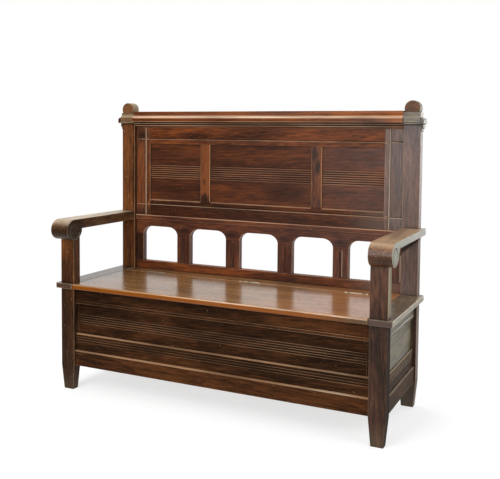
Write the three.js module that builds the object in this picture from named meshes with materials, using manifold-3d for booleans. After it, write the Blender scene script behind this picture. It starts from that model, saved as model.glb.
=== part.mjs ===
// A hall settle: a storage box under a hinged seat lid, a panelled back over an arcade
// of five open bays, and two flat arms that roll over into scrolls on the front posts.
// Millimetres. X runs along the seat, Y from the front to the back, Z up from the floor.
import * as THREE from 'three';
import { mergeVertices } from 'three/addons/utils/BufferGeometryUtils.js';
import Module from 'manifold-3d';

const wasm = await Module();
wasm.setup();

// Overall sizes
const spanOverPosts = 1409;
const depthOverPosts = 460;
const seatHeight = 450;
const endsShortOfBack = 9;

// Posts and feet
const frontPostWidth = 65;
const frontPostDepth = 39;
const backPostWidth = 68;
const backPostDepth = 39;
const footHeight = 104;
const footTaperAcross = 9.5;
const footTaperDeep = 5;

// Clearances and cuts
const slack = 0.3;
const overrun = 6;

// Tenons and tongues
const tenonLength = 12;
const tenonThickness = 8;
const tenonShoulder = 9;

// Box walls, from the feet up
const boxBottomRailHeight = 66;
const boxMidBoardHeight = 70;
const boxTopRailHeight = 62.6;
const boxWallDepth = 32;
const boxTopRailRecess = 10;
const boxPanelRecess = 19;
const boxMidBoardRecess = 12;
const boxBottomRailRecess = 5.5;
const boxPanelThickness = 9;
const boxTongueDepth = 7;
const boxLedgeChamfer = 5;
const boxEndBeadWidth = 12;
const boxEndBeadProud = 2.5;
const topRailLineFromFoot = 13;
const boxPanelLineCount = 5;
const boxPanelLinePitch = 9.2;
const boxPanelLinesHeightShare = 0.487;
const midBoardLineCount = 3;
const midBoardLinePitch = 10;
const midBoardLinesHeightShare = 0.657;
const lineWidth = 4.5;
const lineDepth = 2;

// Box rear and floor
const rearBoardThickness = 18;
const rearBoardInset = 4;
const rearTongue = 6;
const floorThickness = 12;
const cleatSide = 18;
const cleatAboveFoot = 8;
const cleatEndClearance = 36;

// Seat and lid
const seatThickness = 21.4;
const seatFrontOverhang = 13.6;
const seatSideOverhang = 20.2;
const seatCornerRadius = 9;
const seatNoseRadius = 6;
const seatNoseUnderRadius = 4;
const backStripDepth = 102;
const lidEndGap = 3;
const lidBackGap = 1.6;
const lidBattenWidth = 45;
const lidBattenThickness = 18;
const lidBattenPlaceShare = 0.675;
const lidBattenClearance = 13;

// Hinges
const hingeCount = 3;
const hingePitchShare = 0.3733;
const hingeLength = 100;
const hingeLeafHeight = 18;
const hingeLeafThickness = 2;
const hingeKnuckleRadius = 3.4;
const hingeKnuckleCount = 5;
const hingePinRadius = 1.5;
const hingeRelief = 0.5;

// Arcade
const backBoardThickness = 26;
const bayCount = 5;
const arcadeMuntinWidth = 68;
const arcadeStileWidth = 41;
const sillHeight = 37;
const bayHeight = 162;
const bayCornerReach = 47;
const bayCornerRise = 38;
const headAboveBays = 52;
const ledgeHeight = 20;
const ledgeProud = 6;
const ledgeChamfer = 2;
const fluteRadius = 8;
const fluteDepth = 4;
const fluteStop = 10;

// Back frame and panels
const backBottomRailHeight = 74;
const backPanelHeight = 256;
const backTopRailHeight = 75;
const backStileWidth = 78;
const backMuntinWidth = 47;
const centrePanelWidth = 486;
const backPanelThickness = 7;
const backPanelRecess = 6;
const panelTongue = 7;
const incisedLineInset = 22.5;
const incisedLineWidth = 6;
const incisedLineDepth = 2.4;
const panelLineCount = 7;
const panelLinePitch = 9.4;
const panelLineWidth = 6;
const panelLineDepth = 1.8;
const panelLinesHeightShare = 0.508;
const panelOpeningChamfer = 5;

// Crest rail, from its foot up
const crestHeight = 72;
const crestFootRecessHeight = 6;
const crestFootRecessReach = 2;
const crestLowerFilletHeight = 4.5;
const crestLowerFilletReach = 10;
const crestMidRecessHeight = 5;
const crestMidRecessReach = 4;
const crestUpperFilletHeight = 4.5;
const crestUpperFilletReach = 17;
const crestQuirkHeight = 4;
const crestQuirkReach = 12;
const crestFaceReach = 36;
const crestFaceHeight = 18;
const crestFaceEdge = 2;
const crestStripReach = 19;
const crestStripHeight = 17.5;

// Caps, side mouldings and finials on the back posts
const capFootAboveCrestFoot = 19;
const capFaceHeight = 26;
const capReach = 15;
const capLipHeight = 4;
const capLipProud = 1.5;
const capQuirkHeight = 2.5;
const capQuirkDepth = 2;
const capStep = 2;
const capShoulderHeight = 14;
const capShoulderSet = 9;
const capTopHeight = 7;
const noseReach = 15;
const noseRise = 12;
const noseUnderReach = 12;
const noseUnderRise = 4;
const noseSetBack = 1;
const upperBandReach = 9.5;
const upperBandHeight = 17;
const lowerBandReach = 4.5;
const lowerBandHeight = 11;
const finialRadius = 31;
const finialAboveCap = 15;
const finialDepth = 45;
const finialEdge = 2;
const finialPegRadius = 8;
const finialPegLength = 16;

// Arms
const armHeightOverSeat = 266;
const armWidth = 85;
const armOverhang = 21;
const armThickness = 40;
const armEdgeThickness = 25;
const rollReach = 46;
const rollRise = 42;
const rollSetBack = 9;
const scrollRadius = 32;
const scrollSetDown = 8;
const scrollLineWidth = 4;
const scrollLineDepth = 3;
const postTenonAcross = 34;
const postTenonDeep = 16;
const postTenonHeight = 42;
const armTenonAcross = 34;
const armTenonHeight = 20;

// Facet counts and turns
const arcSteps = 8;
const rollSteps = 36;
const discSteps = 40;
const pinSteps = 12;
const postStages = 2;
const quarterTurn = Math.PI / 2;
const halfTurn = Math.PI;
const fullTurn = 2 * Math.PI;

// Places worked out from the sizes
const outerX = spanOverPosts / 2;
const frontInnerX = outerX - frontPostWidth;
const backInnerX = outerX - backPostWidth;
const backPostFront = depthOverPosts - backPostDepth;
const endsBack = depthOverPosts - endsShortOfBack;
const seatUnderside = seatHeight - seatThickness;
const boxBottomRailTop = footHeight + boxBottomRailHeight;
const boxMidBoardTop = boxBottomRailTop + boxMidBoardHeight;
const boxPanelTop = seatUnderside - boxTopRailHeight;
const hingeY = depthOverPosts - backStripDepth;
const frameFront = depthOverPosts - backBoardThickness;
const sillTop = seatHeight + sillHeight;
const bayTop = sillTop + bayHeight;
const springLine = bayTop - bayCornerRise;
const headTop = bayTop + headAboveBays;
const panelFoot = headTop + backBottomRailHeight;
const panelTop = panelFoot + backPanelHeight;
const crestFoot = panelTop + backTopRailHeight;
const crestTop = crestFoot + crestHeight;
const capFoot = crestFoot + capFootAboveCrestFoot;
const capFaceTop = capFoot + capFaceHeight;
const capTop = capFaceTop + capShoulderHeight + capTopHeight;
const armTop = seatHeight + armHeightOverSeat;
const armOuterX = outerX + armOverhang;
const armInnerX = armOuterX - armWidth;
const armUnderside = armTop - armThickness;
const rollZ = armTop - rollRise;
const rollBack = rollSetBack + rollReach;
const arcadeSpan = 2 * (backInnerX - arcadeStileWidth);
const bayWidth = (arcadeSpan - (bayCount - 1) * arcadeMuntinWidth) / bayCount;
const bayPitch = bayWidth + arcadeMuntinWidth;
const stileInnerX = backInnerX - backStileWidth;
const tenonFront = frameFront + (backBoardThickness - tenonThickness) / 2;

// Finishes
const finish = (color, roughness) => ({ color, roughness, metalness: 0 });
const boxWood = finish(0x2e1f1a, 0.55);
const frameWood = finish(0x5a3527, 0.5);
const panelWood = finish(0x6b3d2b, 0.45);
const seatWood = finish(0x7a4a2e, 0.35);
const hingeIron = { color: 0x8d8577, roughness: 0.5, metalness: 0.8 };

// Solids are joined and cut as closed meshes whose corners are shared.
function toSolid(geometry) {
  const bare = geometry.clone();
  bare.deleteAttribute('normal');
  bare.deleteAttribute('uv');
  const merged = mergeVertices(bare);
  const vertProperties = new Float32Array(merged.attributes.position.array);
  const triVerts = new Uint32Array(merged.index.array);
  return new wasm.Manifold(new wasm.Mesh({ numProp: 3, vertProperties, triVerts }));
}

function toGeometry(solid) {
  const mesh = solid.getMesh();
  const geometry = new THREE.BufferGeometry();
  geometry.setAttribute('position', new THREE.BufferAttribute(mesh.vertProperties, 3));
  geometry.setIndex(new THREE.BufferAttribute(mesh.triVerts, 1));
  geometry.computeVertexNormals();
  return geometry;
}

const settle = new THREE.Group();

function addPiece(parent, name, solid, look) {
  const mesh = new THREE.Mesh(toGeometry(solid), new THREE.MeshStandardMaterial(look));
  mesh.name = name;
  parent.add(mesh);
  return mesh;
}

// A block between two corners, given in any order.
function block(x, y, z) {
  const [wide, deep, high] = [x, y, z].map(([low, far]) => Math.abs(far - low));
  const geometry = new THREE.BoxGeometry(wide, deep, high);
  const middle = ([low, far]) => (low + far) / 2;
  geometry.translate(middle(x), middle(y), middle(z));
  return toSolid(geometry);
}

function grown([low, far], by) {
  return low < far ? [low - by, far + by] : [low + by, far - by];
}

function grownBlock([x, y, z], by) {
  return block(grown(x, by), grown(y, by), grown(z, by));
}

// Prisms whose section lies square to X, Y or Z.
const alongX = new THREE.Matrix4().makeBasis(
  new THREE.Vector3(0, 1, 0),
  new THREE.Vector3(0, 0, 1),
  new THREE.Vector3(1, 0, 0),
);
const alongY = new THREE.Matrix4().makeBasis(
  new THREE.Vector3(1, 0, 0),
  new THREE.Vector3(0, 0, 1),
  new THREE.Vector3(0, -1, 0),
);

function extruded(points, depth) {
  const shape = new THREE.Shape(points.map(([u, v]) => new THREE.Vector2(u, v)));
  return new THREE.ExtrudeGeometry(shape, { depth, bevelEnabled: false, steps: 1 });
}

function prismAlongX(points, [low, far]) {
  const geometry = extruded(points, Math.abs(far - low));
  geometry.applyMatrix4(alongX);
  geometry.translate(Math.min(low, far), 0, 0);
  return toSolid(geometry);
}

function prismAlongY(points, [low, far]) {
  const geometry = extruded(points, far - low);
  geometry.applyMatrix4(alongY);
  geometry.translate(0, far, 0);
  return toSolid(geometry);
}

function prismAlongZ(points, [low, far]) {
  const geometry = extruded(points, far - low);
  geometry.translate(0, 0, low);
  return toSolid(geometry);
}

// Points of an elliptical arc, ends included.
function arc([u, v], [reachU, reachV], from, to, steps) {
  const points = [];
  for (let i = 0; i <= steps; i += 1) {
    const angle = from + ((to - from) * i) / steps;
    points.push([u + reachU * Math.cos(angle), v + reachV * Math.sin(angle)]);
  }
  return points;
}

// Incised V lines in the face of the back frame, run along X or Z.
function incisedSection(place) {
  return [
    [frameFront - overrun, place - incisedLineWidth / 2],
    [frameFront, place - incisedLineWidth / 2],
    [frameFront + incisedLineDepth, place],
    [frameFront, place + incisedLineWidth / 2],
    [frameFront - overrun, place + incisedLineWidth / 2],
  ];
}

function lineCutAlongX(z, span) {
  return prismAlongX(incisedSection(z), span);
}

function lineCutAlongZ(x, span) {
  const outline = incisedSection(x).map(([depth, across]) => [across, depth]);
  return prismAlongZ(outline.reverse(), span);
}

// Box walls. A wall board lies along X with its depth running in along +Y from the
// outer faces of the posts. The same four boards close the front and both sides.
const wallBoards = [
  {
    name: 'top_rail',
    low: boxPanelTop,
    high: seatUnderside,
    recess: boxTopRailRecess,
    thickness: boxWallDepth - boxTopRailRecess,
    lines: [boxPanelTop + topRailLineFromFoot],
    chamfer: 0,
  },
  {
    name: 'panel',
    low: boxMidBoardTop,
    high: boxPanelTop,
    recess: boxPanelRecess,
    thickness: boxPanelThickness,
    lines: centred(
      [boxMidBoardTop, boxPanelTop],
      boxPanelLinesHeightShare,
      boxPanelLinePitch,
      boxPanelLineCount,
    ),
    chamfer: 0,
  },
  {
    name: 'mid_board',
    low: boxBottomRailTop,
    high: boxMidBoardTop,
    recess: boxMidBoardRecess,
    thickness: boxWallDepth - boxMidBoardRecess,
    lines: centred(
      [boxBottomRailTop, boxMidBoardTop],
      midBoardLinesHeightShare,
      midBoardLinePitch,
      midBoardLineCount,
    ),
    chamfer: boxLedgeChamfer,
  },
  {
    name: 'bottom_rail',
    low: footHeight,
    high: boxBottomRailTop,
    recess: boxBottomRailRecess,
    thickness: boxWallDepth - boxBottomRailRecess,
    lines: [],
    chamfer: boxLedgeChamfer,
  },
];

function repeated(first, pitch, count) {
  return Array.from({ length: count }, (_, i) => first + i * pitch);
}

// Evenly spaced places centred on a share of the way from low to high.
function centred([low, high], share, pitch, count) {
  const middle = low + (high - low) * share;
  return repeated(middle - (pitch * (count - 1)) / 2, pitch, count);
}

// The tongue of a board in the groove of its neighbour, both on the panel's plane.
const tongueBand = [boxPanelRecess, boxPanelRecess + boxPanelThickness];

function wallTenon(board, half, side) {
  const shoulder = board.name === 'panel' ? 0 : tenonShoulder;
  return [
    [side * half, side * (half + tenonLength)],
    tongueBand,
    [board.low + shoulder, board.high - shoulder],
  ];
}

function wallBoard(board, half) {
  const face = board.recess;
  const back = board.recess + board.thickness;
  const section = [
    [back, board.low],
    [face, board.low],
    ...board.lines.flatMap((z) => [
      [face, z - lineWidth / 2],
      [face + lineDepth, z],
      [face, z + lineWidth / 2],
    ]),
    [face, board.high - board.chamfer],
    ...(board.chamfer ? [[face + board.chamfer, board.high]] : []),
    [back, board.high],
  ];
  let solid = prismAlongX(section, [-half, half]);
  for (const side of [-1, 1]) {
    solid = solid.add(rootedTenon(wallTenon(board, half, side), side));
  }
  if (board.name === 'panel') {
    solid = addPanelTonguesAndBeads(solid, board, half);
  }
  if (board.name === 'top_rail') {
    solid = solid.subtract(tongueSlot(board.low, 1, half));
  }
  if (board.name === 'mid_board') {
    solid = solid.subtract(tongueSlot(board.high, -1, half));
    solid = solid.add(block([-half, half], tongueBand, [board.low, board.low - boxTongueDepth]));
  }
  if (board.name === 'bottom_rail') {
    solid = solid.subtract(tongueSlot(board.high, -1, half));
  }
  return solid;
}

// A tenon starts inside its board so that the two join.
function rootedTenon([x, y, z], side) {
  return block([x[0] - side * tenonLength, x[1]], y, z);
}

function tongueSlot(edge, way, half) {
  return block(
    [-half - tenonLength - overrun, half + tenonLength + overrun],
    grown(tongueBand, slack),
    [edge - way * overrun, edge + way * (boxTongueDepth + slack)],
  );
}

function addPanelTonguesAndBeads(solid, board, half) {
  const lower = [board.low - boxTongueDepth, board.low + boxTongueDepth];
  const upper = [board.high - boxTongueDepth, board.high + boxTongueDepth];
  const whole = [board.low, board.high];
  return solid
    .add(block([-half, half], tongueBand, lower))
    .add(block([-half, half], tongueBand, upper))
    .add(block([-half, -half + boxEndBeadWidth], beadBand(), whole))
    .add(block([half - boxEndBeadWidth, half], beadBand(), whole));
}

function beadBand() {
  return [boxPanelRecess - boxEndBeadProud, boxPanelRecess + boxPanelThickness];
}

// Where the side walls stand between the front and back posts
const sideHalf = (backPostFront - frontPostDepth) / 2 - slack;
const sideMiddle = (backPostFront + frontPostDepth) / 2;

// A side wall's tenon in the bench's own frame, for the mortises.
function sideTenon(board, end, side) {
  const [along, depth, height] = wallTenon(board, sideHalf, end);
  return [
    depth.map((inward) => side * (outerX - inward)),
    along.map((y) => sideMiddle + y),
    height,
  ];
}

function addBoxWalls() {
  for (const board of wallBoards) {
    addPiece(settle, `front_${board.name}`, wallBoard(board, frontInnerX), boxWood);
    for (const side of [-1, 1]) {
      const name = `side_${board.name}_${side < 0 ? 'left' : 'right'}`;
      const mesh = addPiece(settle, name, wallBoard(board, sideHalf), boxWood);
      mesh.rotation.z = side * quarterTurn;
      mesh.position.set(side * outerX, sideMiddle, 0);
    }
  }
}

// Rear boards, tongued together and into the back posts
const rearBack = depthOverPosts - rearBoardInset;
const rearFront = rearBack - rearBoardThickness;
const rearJoint = (footHeight + seatUnderside) / 2;
const rearTenonBand = [
  rearFront + (rearBoardThickness - tenonThickness) / 2,
  rearFront + (rearBoardThickness + tenonThickness) / 2,
];

function rearTenon([low, high], side) {
  return [
    [side * backInnerX, side * (backInnerX + tenonLength)],
    rearTenonBand,
    [low + tenonShoulder, high - tenonShoulder],
  ];
}

const rearBoards = [
  { name: 'rear_lower_board', range: [footHeight, rearJoint] },
  { name: 'rear_upper_board', range: [rearJoint, seatUnderside] },
];

function addRearBoards() {
  for (const { name, range } of rearBoards) {
    let solid = block([-backInnerX, backInnerX], [rearFront, rearBack], range);
    for (const side of [-1, 1]) {
      solid = solid.add(rootedTenon(rearTenon(range, side), side));
    }
    if (name === 'rear_upper_board') {
      const drop = [rearJoint - rearTongue, rearJoint];
      solid = solid.add(block([-backInnerX, backInnerX], rearTenonBand, drop));
    } else {
      const slotSpan = [-backInnerX - overrun, backInnerX + overrun];
      const slotDrop = [rearJoint - rearTongue - slack, rearJoint + overrun];
      solid = solid.subtract(block(slotSpan, grown(rearTenonBand, slack), slotDrop));
    }
    addPiece(settle, name, solid, boxWood);
  }
}

// Floor board on two cleats, notched round the four posts
const cleatTop = footHeight + cleatAboveFoot + cleatSide;

function addFloor() {
  const cleatSpan = [-frontInnerX + cleatEndClearance, frontInnerX - cleatEndClearance];
  const cleatRange = [cleatTop - cleatSide, cleatTop];
  const front = block(cleatSpan, [boxWallDepth, boxWallDepth + cleatSide], cleatRange);
  const rear = block(cleatSpan, [rearFront - cleatSide, rearFront], cleatRange);
  addPiece(settle, 'floor_cleat_front', front, boxWood);
  addPiece(settle, 'floor_cleat_rear', rear, boxWood);
  const wide = outerX - boxWallDepth - slack;
  const deep = [boxWallDepth + slack, rearFront - slack];
  let board = block([-wide, wide], deep, [cleatTop, cleatTop + floorThickness]);
  for (const side of [-1, 1]) {
    board = board.subtract(grownBlock(frontPostRanges(side), slack));
    board = board.subtract(grownBlock(backPostRanges(side), slack));
  }
  addPiece(settle, 'floor_board', board, boxWood);
}

// Posts
function frontPostRanges(side) {
  return [[side * frontInnerX, side * outerX], [0, frontPostDepth], [0, rollZ]];
}

function backPostRanges(side) {
  return [[side * backInnerX, side * outerX], [backPostFront, depthOverPosts], [0, capFoot]];
}

// A post is full size down to the top of its foot, and tapers from there to the floor.
function post([x, y, z]) {
  const [left, right] = [Math.min(...x), Math.max(...x)];
  const [near, far] = [Math.min(...y), Math.max(...y)];
  const height = z[1];
  const geometry = new THREE.BoxGeometry(right - left, far - near, height, 1, 1, postStages);
  geometry.translate((left + right) / 2, (near + far) / 2, height / 2);
  const corners = geometry.attributes.position;
  for (let i = 0; i < corners.count; i += 1) {
    const stage = Math.round(corners.getZ(i) / height * postStages);
    if (stage === 0) {
      const inX = corners.getX(i) < (left + right) / 2 ? footTaperAcross : -footTaperAcross;
      const inY = corners.getY(i) < (near + far) / 2 ? footTaperDeep : -footTaperDeep;
      corners.setX(i, corners.getX(i) + inX);
      corners.setY(i, corners.getY(i) + inY);
    } else if (stage < postStages) {
      corners.setZ(i, footHeight);
    }
  }
  return toSolid(geometry);
}

function mortised(solid, tenons) {
  return tenons.reduce((cut, tenon) => cut.subtract(grownBlock(tenon, slack)), solid);
}

// The post's tenon stands up into the roll of the arm.
function postTopTenon(side) {
  const middleX = side * (outerX + frontInnerX) / 2;
  const middleY = frontPostDepth / 2;
  return [
    [middleX - postTenonAcross / 2, middleX + postTenonAcross / 2],
    [middleY - postTenonDeep / 2, middleY + postTenonDeep / 2],
    [rollZ - rollRise, rollZ - rollRise + postTenonHeight],
  ];
}

function frontPost(side) {
  const wallTenons = wallBoards.flatMap((board) => [
    wallTenon(board, frontInnerX, side),
    sideTenon(board, -1, side),
  ]);
  const roll = prismAlongX(
    arc([rollSetBack, rollZ], [rollReach + slack, rollRise + slack], 0, fullTurn, rollSteps).slice(1),
    [side * (frontInnerX - overrun), side * (outerX + overrun)],
  );
  const shaft = mortised(post(frontPostRanges(side)), wallTenons).subtract(roll);
  const [x, y, z] = postTopTenon(side);
  return shaft.add(block(x, y, [footHeight + z[0] / 2, z[1]]));
}

function backPost(side) {
  const tenons = [
    ...wallBoards.map((board) => sideTenon(board, 1, side)),
    ...rearBoards.map(({ range }) => rearTenon(range, side)),
    ...backTenons(side),
    armTenon(side),
  ];
  return mortised(post(backPostRanges(side)), tenons);
}

// Tenons of the back's members in the back posts
const backTenonBand = [tenonFront, tenonFront + tenonThickness];

function backTenon([low, high], side) {
  return [
    [side * backInnerX, side * (backInnerX + tenonLength)],
    backTenonBand,
    [low + tenonShoulder, high - tenonShoulder],
  ];
}

function backTenons(side) {
  return [
    backTenon([seatHeight, sillTop], side),
    backTenon([springLine, headTop], side),
    backTenon([headTop, crestFoot], side),
  ];
}

function addPosts() {
  for (const side of [-1, 1]) {
    const hand = side < 0 ? 'left' : 'right';
    addPiece(settle, `front_post_${hand}`, frontPost(side), frameWood);
    addPiece(settle, `back_post_${hand}`, backPost(side), frameWood);
  }
}

// Arcade: sill, fluted muntins and end stiles under a head cut to the tops of the bays
const muntinPlaces = repeated(-bayPitch * (bayCount / 2 - 1), bayPitch, bayCount - 1);
const bayPlaces = repeated(-bayPitch * ((bayCount - 1) / 2), bayPitch, bayCount);

function uprightTenons(x, width) {
  const across = [x - width / 2 + tenonShoulder, x + width / 2 - tenonShoulder];
  return [
    [across, backTenonBand, [springLine, springLine + tenonLength]],
    [across, backTenonBand, [sillTop - tenonLength, sillTop]],
  ];
}

function arcadeUprights() {
  const stileX = backInnerX - arcadeStileWidth / 2;
  return [
    ...muntinPlaces.map((x, i) => ({ name: `arcade_muntin_${i + 1}`, x, width: arcadeMuntinWidth })),
    { name: 'arcade_stile_left', x: -stileX, width: arcadeStileWidth },
    { name: 'arcade_stile_right', x: stileX, width: arcadeStileWidth },
  ];
}

function flute() {
  const length = springLine - fluteStop - sillTop + fluteRadius;
  const cutter = new THREE.CapsuleGeometry(fluteRadius, length, arcSteps / 2, 2 * arcSteps);
  cutter.rotateX(quarterTurn);
  const top = springLine - fluteStop;
  cutter.translate(0, frameFront - fluteRadius + fluteDepth, top - fluteRadius - length / 2);
  return toSolid(cutter);
}

function addArcadeUprights() {
  for (const { name, x, width } of arcadeUprights()) {
    const deepBand = [frameFront, depthOverPosts];
    const height = [sillTop, springLine];
    let solid = block([-width / 2, width / 2], deepBand, height);
    const tall = block([-width, width], deepBand, grown(height, tenonLength));
    for (const [across, deep, high] of uprightTenons(0, width)) {
      solid = solid.add(block(across, deep, grown(high, tenonLength / 2)).intersect(tall));
    }
    if (name.includes('muntin')) {
      solid = solid.subtract(flute());
    }
    addPiece(settle, name, solid, frameWood).position.x = x;
  }
}

function headSection() {
  const lower = bayPlaces.flatMap((x) => [
    ...arc([x - bayWidth / 2 + bayCornerReach, springLine], [bayCornerReach, bayCornerRise],
      halfTurn, quarterTurn, arcSteps),
    ...arc([x + bayWidth / 2 - bayCornerReach, springLine], [bayCornerReach, bayCornerRise],
      quarterTurn, 0, arcSteps),
  ]);
  return [
    [-backInnerX, springLine],
    ...lower,
    [backInnerX, springLine],
    [backInnerX, headTop],
    [-backInnerX, headTop],
  ];
}

function withBackTenons(solid, range) {
  return [-1, 1].reduce((joined, side) => joined.add(rootedTenon(backTenon(range, side), side)), solid);
}

function addArcadeRails() {
  const uprightSockets = arcadeUprights().flatMap(({ x, width }) => uprightTenons(x, width));
  const ledge = prismAlongX(
    [
      [frameFront + ledgeChamfer, headTop],
      [frameFront - ledgeProud + ledgeChamfer, headTop],
      [frameFront - ledgeProud, headTop - ledgeChamfer],
      [frameFront - ledgeProud, headTop - ledgeHeight],
      [frameFront + ledgeChamfer, headTop - ledgeHeight],
    ],
    [-backInnerX, backInnerX],
  );
  const head = prismAlongY(headSection(), [frameFront, depthOverPosts]).add(ledge);
  const sill = block([-backInnerX, backInnerX], [frameFront, depthOverPosts], [seatHeight, sillTop]);
  const headTenoned = withBackTenons(head, [springLine, headTop]);
  const sillTenoned = withBackTenons(sill, [seatHeight, sillTop]);
  addPiece(settle, 'arcade_head_rail', mortised(headTenoned, uprightSockets), frameWood);
  addPiece(settle, 'arcade_sill_rail', mortised(sillTenoned, uprightSockets), frameWood);
}

// Back frame: stiles run full height, rails between them, muntins between the rails
const panelMuntinX = (centrePanelWidth + backMuntinWidth) / 2;
const panelSpans = [
  { name: 'left', span: [-stileInnerX, -centrePanelWidth / 2 - backMuntinWidth] },
  { name: 'centre', span: [-centrePanelWidth / 2, centrePanelWidth / 2] },
  { name: 'right', span: [centrePanelWidth / 2 + backMuntinWidth, stileInnerX] },
];
const panelFront = frameFront + backPanelRecess;
const panelBand = [panelFront, panelFront + backPanelThickness];

function panelRanges({ span }) {
  return [grown(span, panelTongue), panelBand, grown([panelFoot, panelTop], panelTongue)];
}

function railTenon([low, high], side) {
  return [
    [side * stileInnerX, side * (stileInnerX + tenonLength)],
    backTenonBand,
    [low + tenonShoulder, high - tenonShoulder],
  ];
}

function muntinTenon(x, [edge, tip]) {
  const half = backMuntinWidth / 2 - tenonShoulder;
  return [[x - half, x + half], backTenonBand, [edge, tip]];
}

const backRails = [
  { name: 'back_bottom_rail', range: [headTop, panelFoot] },
  { name: 'back_top_rail', range: [panelTop, crestFoot] },
];
const muntinTenons = [-1, 1].flatMap((side) => [
  muntinTenon(side * panelMuntinX, [panelFoot, panelFoot - tenonLength]),
  muntinTenon(side * panelMuntinX, [panelTop, panelTop + tenonLength]),
]);

function panelSlots(solid) {
  return panelSpans.reduce((cut, panel) => cut.subtract(grownBlock(panelRanges(panel), slack)), solid);
}

// Incised lines follow the frame, a little outside its inner edges.
function incised(solid) {
  const across = [-outerX, outerX];
  const tall = [headTop - overrun, crestFoot + overrun];
  const lineX = stileInnerX + incisedLineInset;
  return solid
    .subtract(lineCutAlongX(panelFoot - incisedLineInset, across))
    .subtract(lineCutAlongX(panelTop + incisedLineInset, across))
    .subtract(lineCutAlongZ(lineX, tall))
    .subtract(lineCutAlongZ(-lineX, tall));
}

function openingChamfers(solid) {
  const points = [
    [frameFront - overrun, panelFoot - panelOpeningChamfer - overrun],
    [frameFront + panelOpeningChamfer + overrun, panelFoot + overrun],
    [frameFront - overrun, panelFoot + overrun],
  ];
  return panelSpans.reduce((cut, { span }) => cut.subtract(prismAlongX(points, span)), solid);
}

function backMuntin(x) {
  const span = [x - backMuntinWidth / 2, x + backMuntinWidth / 2];
  const body = panelSlots(block(span, [frameFront, depthOverPosts], [panelFoot, panelTop]));
  const [across, deep, high] = muntinTenon(x, [panelFoot, panelTop]);
  return body.add(block(across, deep, grown(high, tenonLength)));
}

function addBackFrame() {
  for (const side of [-1, 1]) {
    const hand = side < 0 ? 'left' : 'right';
    const range = [headTop, crestFoot];
    let stile = block([side * stileInnerX, side * backInnerX], [frameFront, depthOverPosts], range);
    stile = stile.add(rootedTenon(backTenon(range, side), side));
    stile = mortised(stile, backRails.map((rail) => railTenon(rail.range, side)));
    addPiece(settle, `back_stile_${hand}`, incised(panelSlots(stile)), frameWood);
    addPiece(settle, `back_muntin_${hand}`, backMuntin(side * panelMuntinX), frameWood);
  }
  for (const { name, range } of backRails) {
    let rail = block([-stileInnerX, stileInnerX], [frameFront, depthOverPosts], range);
    for (const side of [-1, 1]) {
      rail = rail.add(rootedTenon(railTenon(range, side), side));
    }
    rail = mortised(panelSlots(rail), muntinTenons);
    if (name === 'back_bottom_rail') {
      rail = openingChamfers(rail);
    }
    addPiece(settle, name, incised(rail), frameWood);
  }
}

function addBackPanels() {
  const lines = centred([panelFoot, panelTop], panelLinesHeightShare, panelLinePitch, panelLineCount);
  const [low, high] = grown([panelFoot, panelTop], panelTongue);
  const section = [
    [panelBand[1], low],
    [panelBand[0], low],
    ...lines.flatMap((z) => [
      [panelFront, z - panelLineWidth / 2],
      [panelFront + panelLineDepth, z],
      [panelFront, z + panelLineWidth / 2],
    ]),
    [panelBand[0], high],
    [panelBand[1], high],
  ];
  for (const { name, span } of panelSpans) {
    addPiece(settle, `back_panel_${name}`, prismAlongX(section, grown(span, panelTongue)), panelWood);
  }
}

// Crest rail: two fillets between recesses, then a face, a slope and a plain strip on top
function addCrestRail() {
  let z = crestFoot;
  const section = [[depthOverPosts, crestFoot]];
  const band = (reach, height) => {
    section.push([frameFront - reach, z], [frameFront - reach, z + height]);
    z += height;
  };
  band(crestFootRecessReach, crestFootRecessHeight);
  band(crestLowerFilletReach, crestLowerFilletHeight);
  band(crestMidRecessReach, crestMidRecessHeight);
  band(crestUpperFilletReach, crestUpperFilletHeight);
  band(crestQuirkReach, crestQuirkHeight);
  section.push(
    [frameFront - crestFaceReach + crestFaceEdge, z],
    [frameFront - crestFaceReach, z + crestFaceEdge],
    [frameFront - crestFaceReach, z + crestFaceHeight],
    [frameFront - crestStripReach, crestTop - crestStripHeight],
    [frameFront - crestStripReach, crestTop],
    [depthOverPosts, crestTop],
  );
  addPiece(settle, 'crest_rail', prismAlongX(section, [-backInnerX, backInnerX]), frameWood);
}

// Cap block, side moulding and disc finial on each back post
const capFront = backPostFront - capReach;
const finialX = (outerX + backInnerX) / 2;
const finialZ = capTop + finialAboveCap;
const finialFront = depthOverPosts - finialDepth;

function capSection() {
  return [
    [depthOverPosts, capFoot],
    [capFront - capLipProud, capFoot],
    [capFront - capLipProud, capFoot + capLipHeight],
    [capFront + capQuirkDepth, capFoot + capLipHeight],
    [capFront + capQuirkDepth, capFoot + capLipHeight + capQuirkHeight],
    [capFront, capFoot + capLipHeight + capQuirkHeight],
    [capFront, capFaceTop],
    [capFront + capStep, capFaceTop],
    [capFront + capShoulderSet, capTop - capTopHeight],
    [capFront + capShoulderSet, capTop],
    [depthOverPosts, capTop],
  ];
}

// The peg that holds a finial on its cap, or the socket for it.
function pegCylinder(radius, side, [low, high]) {
  const geometry = new THREE.CylinderGeometry(radius, radius, high - low, pinSteps);
  geometry.rotateX(quarterTurn);
  geometry.translate(side * finialX, (finialFront + depthOverPosts) / 2, (low + high) / 2);
  return toSolid(geometry);
}

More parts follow.
